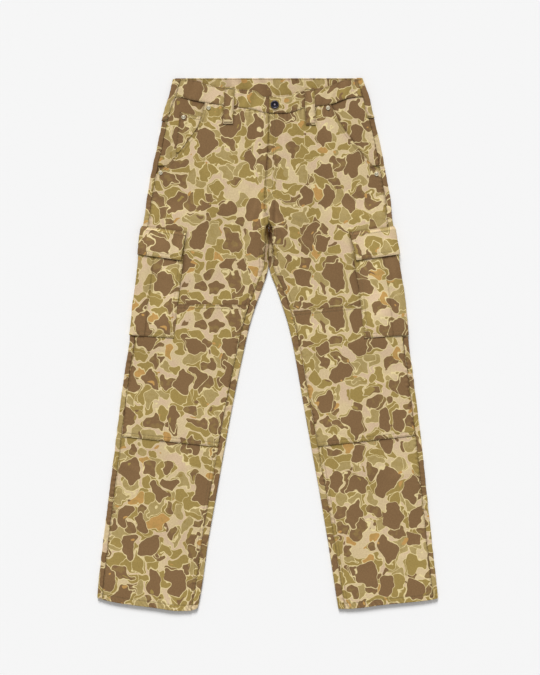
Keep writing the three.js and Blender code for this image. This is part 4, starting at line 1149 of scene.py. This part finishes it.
def make_patch(side):
    shape = PATCHES[side]
    column = FRONT_COLUMNS[None, :]
    places = spread(0, PATCH_LENGTH, ROW_STEP)
    up = places[:, None] / PATCH_LENGTH
    top = mix(shape["top_out"], shape["top_in"], column)
    bottom = mix(shape["bottom_out"], shape["bottom_in"], column)
    row = mix(top, bottom, up)
    outer_x, inner_x = front_edges(side, row)
    x = mix(outer_x - SIDES[side] * PATCH_IN, inner_x + SIDES[side] * PATCH_IN, column)
    from_ends = np.minimum(places, PATCH_LENGTH - places)
    columns_in = np.minimum(FRONT_COLUMNS, 1 - FRONT_COLUMNS) * PANEL_WIDTH
    seed = 12 + SIDES[side]
    relief = sewn(from_ends[:, None], x, (FIRST_ROW, SECOND_ROW), seed, 0.22, 8)
    relief = relief + sewn(columns_in[None, :], row, (FIRST_ROW,), seed + 4)
    face = top_face(side, x, row) + LAY
    draw = edge_round(from_ends, columns_in, PATCH_WALL)
    place = stack(x, row + 77, 0)[..., :2]
    outer, inner = stack(x, row, face + PATCH_WALL + relief - draw), stack(x, row, face + draw)
    shade = 0.75 * relief + seam_shade(from_ends[:, None], 0.3, 1.3, x) + seam_shade(columns_in[None, :], 0.3, 1.3, row)
    shade = shade + pucker_shade(from_ends[:, None], x, seed, 5, 3.2, 0.2) + pucker_shade(columns_in[None, :], row, seed + 1, 3)
    shade = shade + FOLD_SHADE * line_rise(CREASES, x, row)
    piece = shell(f"knee_patch_{side}_cloth", outer, inner, place, shade, twill, f"knee_patch_{side}")
    laid(place)
    for d in (FIRST_ROW, SECOND_ROW, PATCH_LENGTH - FIRST_ROW, PATCH_LENGTH - SECOND_ROW):
        stitch_grid("patches", outer, inner, "row", nearest(places, d), 2, 2)


# Cargo pockets and flaps

PLEAT_STEPS = (PLEAT_HALF + 4, PLEAT_HALF + 2.4, PLEAT_HALF + 1.4, PLEAT_HALF + 0.6, PLEAT_HALF - 0.2,
               PLEAT_HALF - 1, PLEAT_HALF - 2.2)


def over_leg(side, y, s, lift):
    """A point over the leg's cloth: s runs inwards over the front from the side edge, and below zero underneath."""
    inward = -SIDES[side]
    radius = roll_radius(y)
    quarter = radius * math.pi / 2
    start = cloth_edge(side, y)
    on_top = start + inward * (radius + s - quarter)
    below = start + inward * (radius - s - quarter)
    a = np.clip(s / radius, -math.pi / 2, math.pi / 2)
    round_x = start + inward * (radius - (radius + lift) * np.cos(a))
    round_z = edge_rise(y) + radius + (radius + lift) * np.sin(a)
    x = np.where(s > quarter, on_top, np.where(s < -quarter, below, round_x))
    over = top_face(side, on_top, y) + lift
    under = underside(side, below, y) - lift
    z = np.where(s > quarter, over, np.where(s < -quarter, under, round_z))
    return stack(x, y, np.maximum(0, z))


def on_front(s):
    return smooth(3.4, 10, s)


def over_patch(side, y):
    top = PATCHES[side]["top_out"]
    return (PATCH_WALL + LAY) * (1 - smooth(top + 12, top + 28, y))


def pocket_outer(side, s, y):
    puff = np.maximum(POCKET_PUFF, over_patch(side, y) + 0.4)
    pleat = PLEAT_RISE * (1 - smooth(PLEAT_HALF - 1, PLEAT_HALF + 2, s)) * smooth(0, 10, s)
    return LAY + POCKET_WALL + (puff - 0.5) * on_front(s) + pleat


def pocket_inner(side, s, y, is_border):
    under = over_patch(side, y)
    puff = np.where(is_border, under, np.maximum(POCKET_PUFF - 0.5, under))
    return LAY + puff * on_front(s)


def wrap_columns(reach, with_pleat):
    """Places from the front edge round the side edge to the edge underneath."""
    around = np.linspace(3.6, -3.6, 9)
    below = spread(-5, -reach, 9, (), FINE_STEPS)
    if not with_pleat:
        return np.concatenate([spread(reach, 4.4, 2.8, EDGE_STEPS, ()), around, below])
    outside = spread(reach, PLEAT_STEPS[0], 2.8, EDGE_STEPS, ())
    inside = np.linspace(PLEAT_STEPS[-1], 4.4, 9)
    return np.concatenate([outside[:-1], PLEAT_STEPS, inside[1:], around, below])


def make_cargo_pocket(side):
    columns = wrap_columns(POCKET_REACH, True)
    rows = spread(POCKET_TOP, POCKET_BOTTOM, 2.6)
    row = rows[:, None]
    s = columns[None, :]
    y = row - mix(POCKET_BOTTOM_TILT, POCKET_TILT, smooth(POCKET_BOTTOM, 120, row)) * s
    from_foot = rows - POCKET_BOTTOM
    rows_in = np.minimum(POCKET_TOP - rows, from_foot)
    columns_in = POCKET_REACH - np.abs(columns)
    border = (rows_in[:, None] < POCKET_HEM + 0.1) | (POCKET_REACH - s < POCKET_HEM + 0.1)
    draw = edge_round(rows_in, columns_in, POCKET_WALL)
    seed = 15 + SIDES[side]
    relief = sewn(columns_in[None, :], y, (FIRST_ROW, SECOND_ROW), seed, 0.24, 8)
    relief = relief + sewn(from_foot[:, None], s, (FIRST_ROW, SECOND_ROW), seed + 2, 0.24, 8)
    swell = np.sin(np.clip((POCKET_REACH - s) / (POCKET_REACH - PLEAT_HALF), 0, 1) * math.pi)
    relief = relief + 0.5 * swell * smooth(0, 40, from_foot[:, None]) + 0.22 * wave(y + 0.3 * s, seed + 6, 53) * swell
    crease = np.exp(-(((s - PLEAT_HALF / 2) / 5) ** 2)) * smooth(0, 60, from_foot[:, None])
    relief = (relief + 0.3 * crease) * on_front(s)
    outer = over_leg(side, y, s, pocket_outer(side, s, y) + relief - draw)
    inner = over_leg(side, y, s, pocket_inner(side, s, y, border) + draw)
    shade = 0.3 * relief + seam_shade(columns_in[None, :], 0.12) + seam_shade(from_foot[:, None], 0.2)
    shade = shade + pucker_shade(columns_in[None, :], y, seed) + pucker_shade(from_foot[:, None], s, seed + 1)
    # Painted shade along the foot of the pleat's fold.
    pleat_shade = 0.2 + 0.2 * smooth(-0.2, 0.8, wave(y, seed + 8, 57))
    shade = shade - pleat_shade * np.exp(-(((s - PLEAT_HALF - 1.8) / 1.3) ** 2))
    # Painted shadow of the flap on the pocket just below the flap's bottom edge.
    shade = shade + seam_shade(np.maximum(FLAP_BOTTOM - row, 0), 0.62, 4, 1.3 * s + 40 * SIDES[side]) * on_front(s)
    place = stack(-SIDES[side] * s + 300 * SIDES[side], y - 33, 0)[..., :2]
    piece = shell(f"cargo_pocket_{side}_cloth", outer, inner, place, shade, twill, f"cargo_pocket_{side}")
    laid(place)
    for d in (FIRST_ROW, SECOND_ROW):
        stitch_grid("pockets", outer, inner, "column", nearest(columns, POCKET_REACH - d), 1, 1, nearest(rows, 186))
        stitch_grid("pockets", outer, inner, "row", nearest(from_foot, d), 1, 1, 0, nearest(columns, 4.4))
    stitch_grid("pockets", outer, inner, "row", nearest(from_foot, FIRST_ROW), 1, 1, nearest(columns, -4))


def make_flap(side):
    columns = wrap_columns(FLAP_REACH, False)
    rows = spread(FLAP_TOP, FLAP_BOTTOM, 2.2)
    row = rows[:, None]
    down = (FLAP_TOP - row) / (FLAP_TOP - FLAP_BOTTOM)
    s = columns[None, :] * (1 - down * FLAP_CORNER_IN / FLAP_REACH)
    y = row - POCKET_TILT * s
    sewn_down = smooth(FLAP_TOP - 7, FLAP_TOP, row)
    from_top, from_foot = FLAP_TOP - rows, rows - FLAP_BOTTOM
    columns_in = FLAP_REACH - np.abs(columns)
    seed = 19 + SIDES[side]
    relief = sewn(from_top[:, None], s, (FIRST_ROW, SECOND_ROW), seed, 0.25, 7)
    relief = relief + sewn(from_foot[:, None], s, (FIRST_ROW, SECOND_ROW), seed + 1, 0.25, 8)
    relief = relief + sewn(columns_in[None, :], y, (FIRST_ROW, SECOND_ROW), seed + 2, 0.2, 7)
    bulge = np.sin(np.clip(down, 0, 1) * math.pi) * (0.45 + 0.35 * wave(s, seed + 4, 61))
    relief = (relief + bulge) * on_front(s)
    over = pocket_outer(side, s, np.maximum(y, 130)) + FLAP_LAY + FLAP_LIFT * on_front(s) * down * down
    lift = mix(over, LAY, sewn_down) + FLAP_WALL + relief
    draw = edge_round(np.minimum(from_top, from_foot), columns_in, FLAP_WALL)
    place = stack(-SIDES[side] * s - 250 * SIDES[side], y + 60, 0)[..., :2]
    outer, inner = over_leg(side, y, s, lift - draw), over_leg(side, y, s, lift - relief * 0.5 - FLAP_WALL + draw)
    shade = 0.3 * relief + seam_shade(from_top[:, None]) + seam_shade(columns_in[None, :], 0.2, 1)
    shade = shade + pucker_shade(from_top[:, None], s, seed) + pucker_shade(from_foot[:, None], s, seed + 1, 5, 3, 0.2)
    piece = shell(f"cargo_flap_{side}_cloth", outer, inner, place, shade, twill, f"cargo_flap_{side}")
    laid(place)
    wrapped = nearest(columns, 4.4)
    for d in (FIRST_ROW, SECOND_ROW):
        stitch_grid("pockets", outer, inner, "column", nearest(columns, FLAP_REACH - d), d, d)
        for place_in in (nearest(from_top, d), nearest(from_foot, d)):
            stitch_grid("pockets", outer, inner, "row", place_in, d, 1, 0, wrapped)
    corner = outer[nearest(from_top, 5), nearest(columns, FLAP_REACH - 5)]
    tack("pockets", corner, (0, 1, 0), 9)


# Belt loops


def make_front_loop(side):
    loop = FRONT_LOOPS[side]
    places = spread(0, LOOP_LENGTH, 1.8, FINE_STEPS, FINE_STEPS)
    ways = spread(0, LOOP_WIDTH, 1.6, FINE_STEPS, FINE_STEPS)
    up, part = places[:, None] / LOOP_LENGTH, ways[None, :] / LOOP_WIDTH
    y = mix(loop["top"] - LOOP_LENGTH, loop["top"], up)
    x = loop["x"] + loop["lean"] * (1 - up) + LOOP_WIDTH * (part - 0.5)
    on_band = smooth(band_bottom(x) - 12, band_bottom(x) - 4, y)
    under = mix(top_face(side, x, y), band_face(side, x, np.maximum(y, WAIST_SEAM - 30)), on_band) + LAY
    columns_in = np.minimum(ways, LOOP_WIDTH - ways)
    rows_in = np.minimum(places, LOOP_LENGTH - places)
    relief = sewn(columns_in[None, :], y, (FIRST_ROW,), 23 + SIDES[side], 0.16, 6)
    relief = relief + 0.5 * np.exp(-(((columns_in[None, :] - LOOP_WIDTH / 2) / 5) ** 2)) * smooth(2, 14, rows_in[:, None])
    draw = edge_round(rows_in, columns_in, LOOP_WALL)
    place = stack(x + 1100, y, 0)[..., :2]
    outer, inner = stack(x, y, under + LOOP_WALL + relief - draw), stack(x, y, under + draw)
    shade = 0.3 * relief + seam_shade(columns_in[None, :], 0.3, 1, y) + seam_shade(rows_in[:, None], 0.3, 1.4)
    shade = shade + pucker_shade(columns_in[None, :], y + 9 * part, 31 + SIDES[side], 3, 2.4, 0.36)
    piece = shell(f"belt_loop_front_{side}_cloth", outer, inner, place, shade, twill, f"belt_loop_front_{side}")
    laid(place)
    for d in (FIRST_ROW, LOOP_WIDTH - FIRST_ROW):
        stitch_grid("band", outer, inner, "column", nearest(ways, d), 1, 1)
    middle = nearest(ways, LOOP_WIDTH / 2)
    for d in (4, LOOP_LENGTH - 4):
        tack("band", outer[nearest(places, d), middle], (1, 0, 0), LOOP_WIDTH - 4)


def make_side_loop(side):
    loop = SIDE_LOOPS[side]
    length = loop["top"] - loop["bottom"]
    places = spread(0, length, 2, FINE_STEPS, FINE_STEPS)
    shares = np.linspace(0, 1, 19)
    up, share = places[:, None] / length, shares[None, :]
    y = mix(loop["bottom"], loop["top"], up)
    reach = mix(loop["in_at_bottom"], loop["in_at_top"], up)
    s = mix(SIDE_LOOP_UNDER, reach, share)
    radius = mix(roll_radius(y), BAND_RADIUS, smooth(WAIST_SEAM - 12, WAIST_SEAM - 3, y))
    inward = -SIDES[side]
    quarter = radius * math.pi / 2
    start = EDGE[side]["out"](y)

    def point(lift):
        reach_out = radius + LAY + lift
        round_x = start + inward * (radius - reach_out * np.cos(s / radius))
        x = np.where(s > quarter, start + inward * (radius + s - quarter), round_x)
        z = np.where(s > quarter, 2 * radius + 0.1 + LAY + lift, radius + reach_out * np.sin(s / radius))
        return stack(x, y, z)

    columns_in = np.minimum(shares, 1 - shares) * 15
    rows_in = np.minimum(places, length - places)
    relief = sewn(columns_in[None, :], y, (FIRST_ROW,), 27 + SIDES[side], 0.14, 5)
    draw = edge_round(rows_in, columns_in, LOOP_WALL)
    place = stack(inward * s + 1300, y, 0)[..., :2]
    outer, inner = point(LOOP_WALL + relief - draw), point(draw)
    shade = 0.3 * relief + seam_shade(columns_in[None, :], 0.4, 1.2, y) + seam_shade(rows_in[:, None], 0.3, 1.4)
    shade = shade + pucker_shade(columns_in[None, :], y + 9 * share, 35 + SIDES[side], 3, 2.4, 0.36)
    piece = shell(f"belt_loop_side_{side}_cloth", outer, inner, place, shade, twill, f"belt_loop_side_{side}")
    laid(place)
    stitch_grid("band", outer, inner, "column", nearest(shares, 1 - FIRST_ROW / 15), 1, 1)
    for d in (4, length - 4):
        tack("band", outer[nearest(places, d), 12], (1, 0, 0), 8)


# Waist button and rivets

BUTTON = {"x": 13.8, "y": 479, "radius": 8.4, "height": 3.4}
RIVET = {"radius": 4.3, "height": 1.5}
RIVETS = (
    ("rivet_waist_left", "left", -118.5, 473.5, 0),
    ("rivet_coin_left", "left", -168.5, 454.5, PATCH_WALL + LAY - 1.1),
    ("rivet_side_left", "left", -214.5, 343.5, 0),
    ("rivet_waist_right", "right", 120.5, 473, 0),
    ("rivet_side_right", "right", 217.5, 341, 0),
)
METAL_SEAT = 0.4
TURNS = 64
RIVET_SECTION = (
    (1, 0), (1, 0.3), (0.985, 0.42), (0.95, 0.54), (0.9, 0.66), (0.84, 0.76), (0.78, 0.82), (0.72, 0.83), (0.66, 0.79),
    (0.6, 0.72), (0.54, 0.66), (0.48, 0.64), (0.42, 0.68), (0.38, 0.8), (0.34, 0.92), (0.28, 0.99), (0.2, 1), (0.14, 0.9),
    (0.08, 0.72), (0, 0.66),
)
BUTTON_SECTION = (
    (0.7, 0), (0.8, 0.08), (0.9, 0.2), (0.97, 0.34), (1, 0.48), (0.995, 0.62), (0.97, 0.76), (0.93, 0.88), (0.88, 0.96),
    (0.83, 1), (0.78, 0.98), (0.74, 0.93), (0.7, 0.86), (0.64, 0.8), (0.56, 0.75), (0.46, 0.71), (0.36, 0.67), (0.31, 0.64),
    (0.29, 0.7), (0.27, 0.78), (0.24, 0.84), (0.18, 0.88), (0.1, 0.89), (0, 0.86),
)


def turned(name, section, radius, height, centre, material, slot):
    turn = np.arange(TURNS) * 2 * math.pi / TURNS
    points, faces = [], []
    for share, up in section[:-1]:
        points += [(centre[0] + radius * share * math.cos(a), centre[1] + radius * share * math.sin(a),
                    centre[2] + height * up) for a in turn]
    tip = len(points)
    points.append((centre[0], centre[1], centre[2] + height * section[-1][1]))
    for r in range(len(section) - 2):
        for k in range(TURNS):
            after = (k + 1) % TURNS
            low = r * TURNS
            faces.append((low + k, low + after, low + TURNS + after, low + TURNS + k))
    last = (len(section) - 2) * TURNS
    faces += [(last + k, last + (k + 1) % TURNS, tip) for k in range(TURNS)]
    faces.append(tuple(range(TURNS))[::-1])
    piece = new_mesh(name, points, faces, material)
    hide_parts(name.replace("_turned", ""))


def make_button():
    seat = float(band_face("right", BUTTON["x"], BUTTON["y"])) + METAL_SEAT
    centre = (BUTTON["x"], BUTTON["y"], seat)
    # On the button the pale middle is a painted highlight; the rim wears to the same colour in patches.
    material = metal_material("button_enamel", BUTTON_DARK, BUTTON_WEAR_AND_HIGHLIGHT, 0.34, 0.5, centre, BUTTON["radius"])
    turned("button_turned", BUTTON_SECTION, BUTTON["radius"], BUTTON["height"], centre, material, "button_metal")


def make_rivets():
    for name, side, x, y, over in RIVETS:
        base = float(top_face(side, x, y)) + over + METAL_SEAT
        material = metal_material(name, RIVET_PALE, RIVET_DULL, 0.42, 0.5, (x, y, base), RIVET["radius"])
        turned(f"{name}_turned", RIVET_SECTION, RIVET["radius"], RIVET["height"], (x, y, base), material, "rivet_metal")


def make_camera():
    data = bpy.data.cameras.new("camera")
    camera = bpy.data.objects.new("camera", data)
    bpy.context.collection.objects.link(camera)
    scale = PHOTO["mm_per_px"]
    x = (PHOTO["width"] / 2 - PHOTO["origin_x"]) * scale
    y = (PHOTO["origin_y"] - PHOTO["height"] / 2) * scale
    camera.location = (x * MM, y * MM, CAMERA_HEIGHT * MM)
    data.sensor_fit = "VERTICAL"
    data.sensor_height = SENSOR_MM
    data.lens = SENSOR_MM * (CAMERA_HEIGHT - CLOTH_TOP) / (PHOTO["height"] * scale)
    data.clip_end = 100
    bpy.context.scene.camera = camera


def make_floor():
    size = 12
    mesh = bpy.data.meshes.new("floor")
    mesh.from_pydata([(-size, -size, 0), (size, -size, 0), (size, size, 0), (-size, size, 0)], [], [(0, 1, 2, 3)])
    material = bpy.data.materials.new("floor")
    material.use_nodes = True
    shader = material.node_tree.nodes["Principled BSDF"]
    shader.inputs["Base Color"].default_value = (0.9, 0.9, 0.9, 1)
    shader.inputs["Roughness"].default_value = 0.9
    mesh.materials.append(material)
    floor = bpy.data.objects.new("floor", mesh)
    floor.location.z = -0.0005
    bpy.context.collection.objects.link(floor)


def make_lights():
    world = bpy.data.worlds.new("studio")
    world.use_nodes = True
    world.node_tree.nodes["Background"].inputs["Color"].default_value = (1, 1, 1, 1)
    world.node_tree.nodes["Background"].inputs["Strength"].default_value = WORLD_STRENGTH
    bpy.context.scene.world = world
    data = bpy.data.lights.new("softbox", "SUN")
    data.angle = math.radians(SUN_SPREAD)
    data.energy = SUN_STRENGTH
    light = bpy.data.objects.new("softbox", data)
    light.rotation_euler = (math.radians(SUN_TILT[0]), math.radians(SUN_TILT[1]), 0)
    bpy.context.collection.objects.link(light)
    bpy.context.scene.view_settings.view_transform = "Standard"


make_camera()
for side in SIDES:
    make_front(side)
    make_back(side)
    make_facing(side)
    make_patch(side)
    make_cargo_pocket(side)
    make_flap(side)
    make_front_loop(side)
    make_side_loop(side)
make_waistband()
make_coin_pocket()
make_button()
make_rivets()
make_stitches(thread)
make_floor()
make_lights()
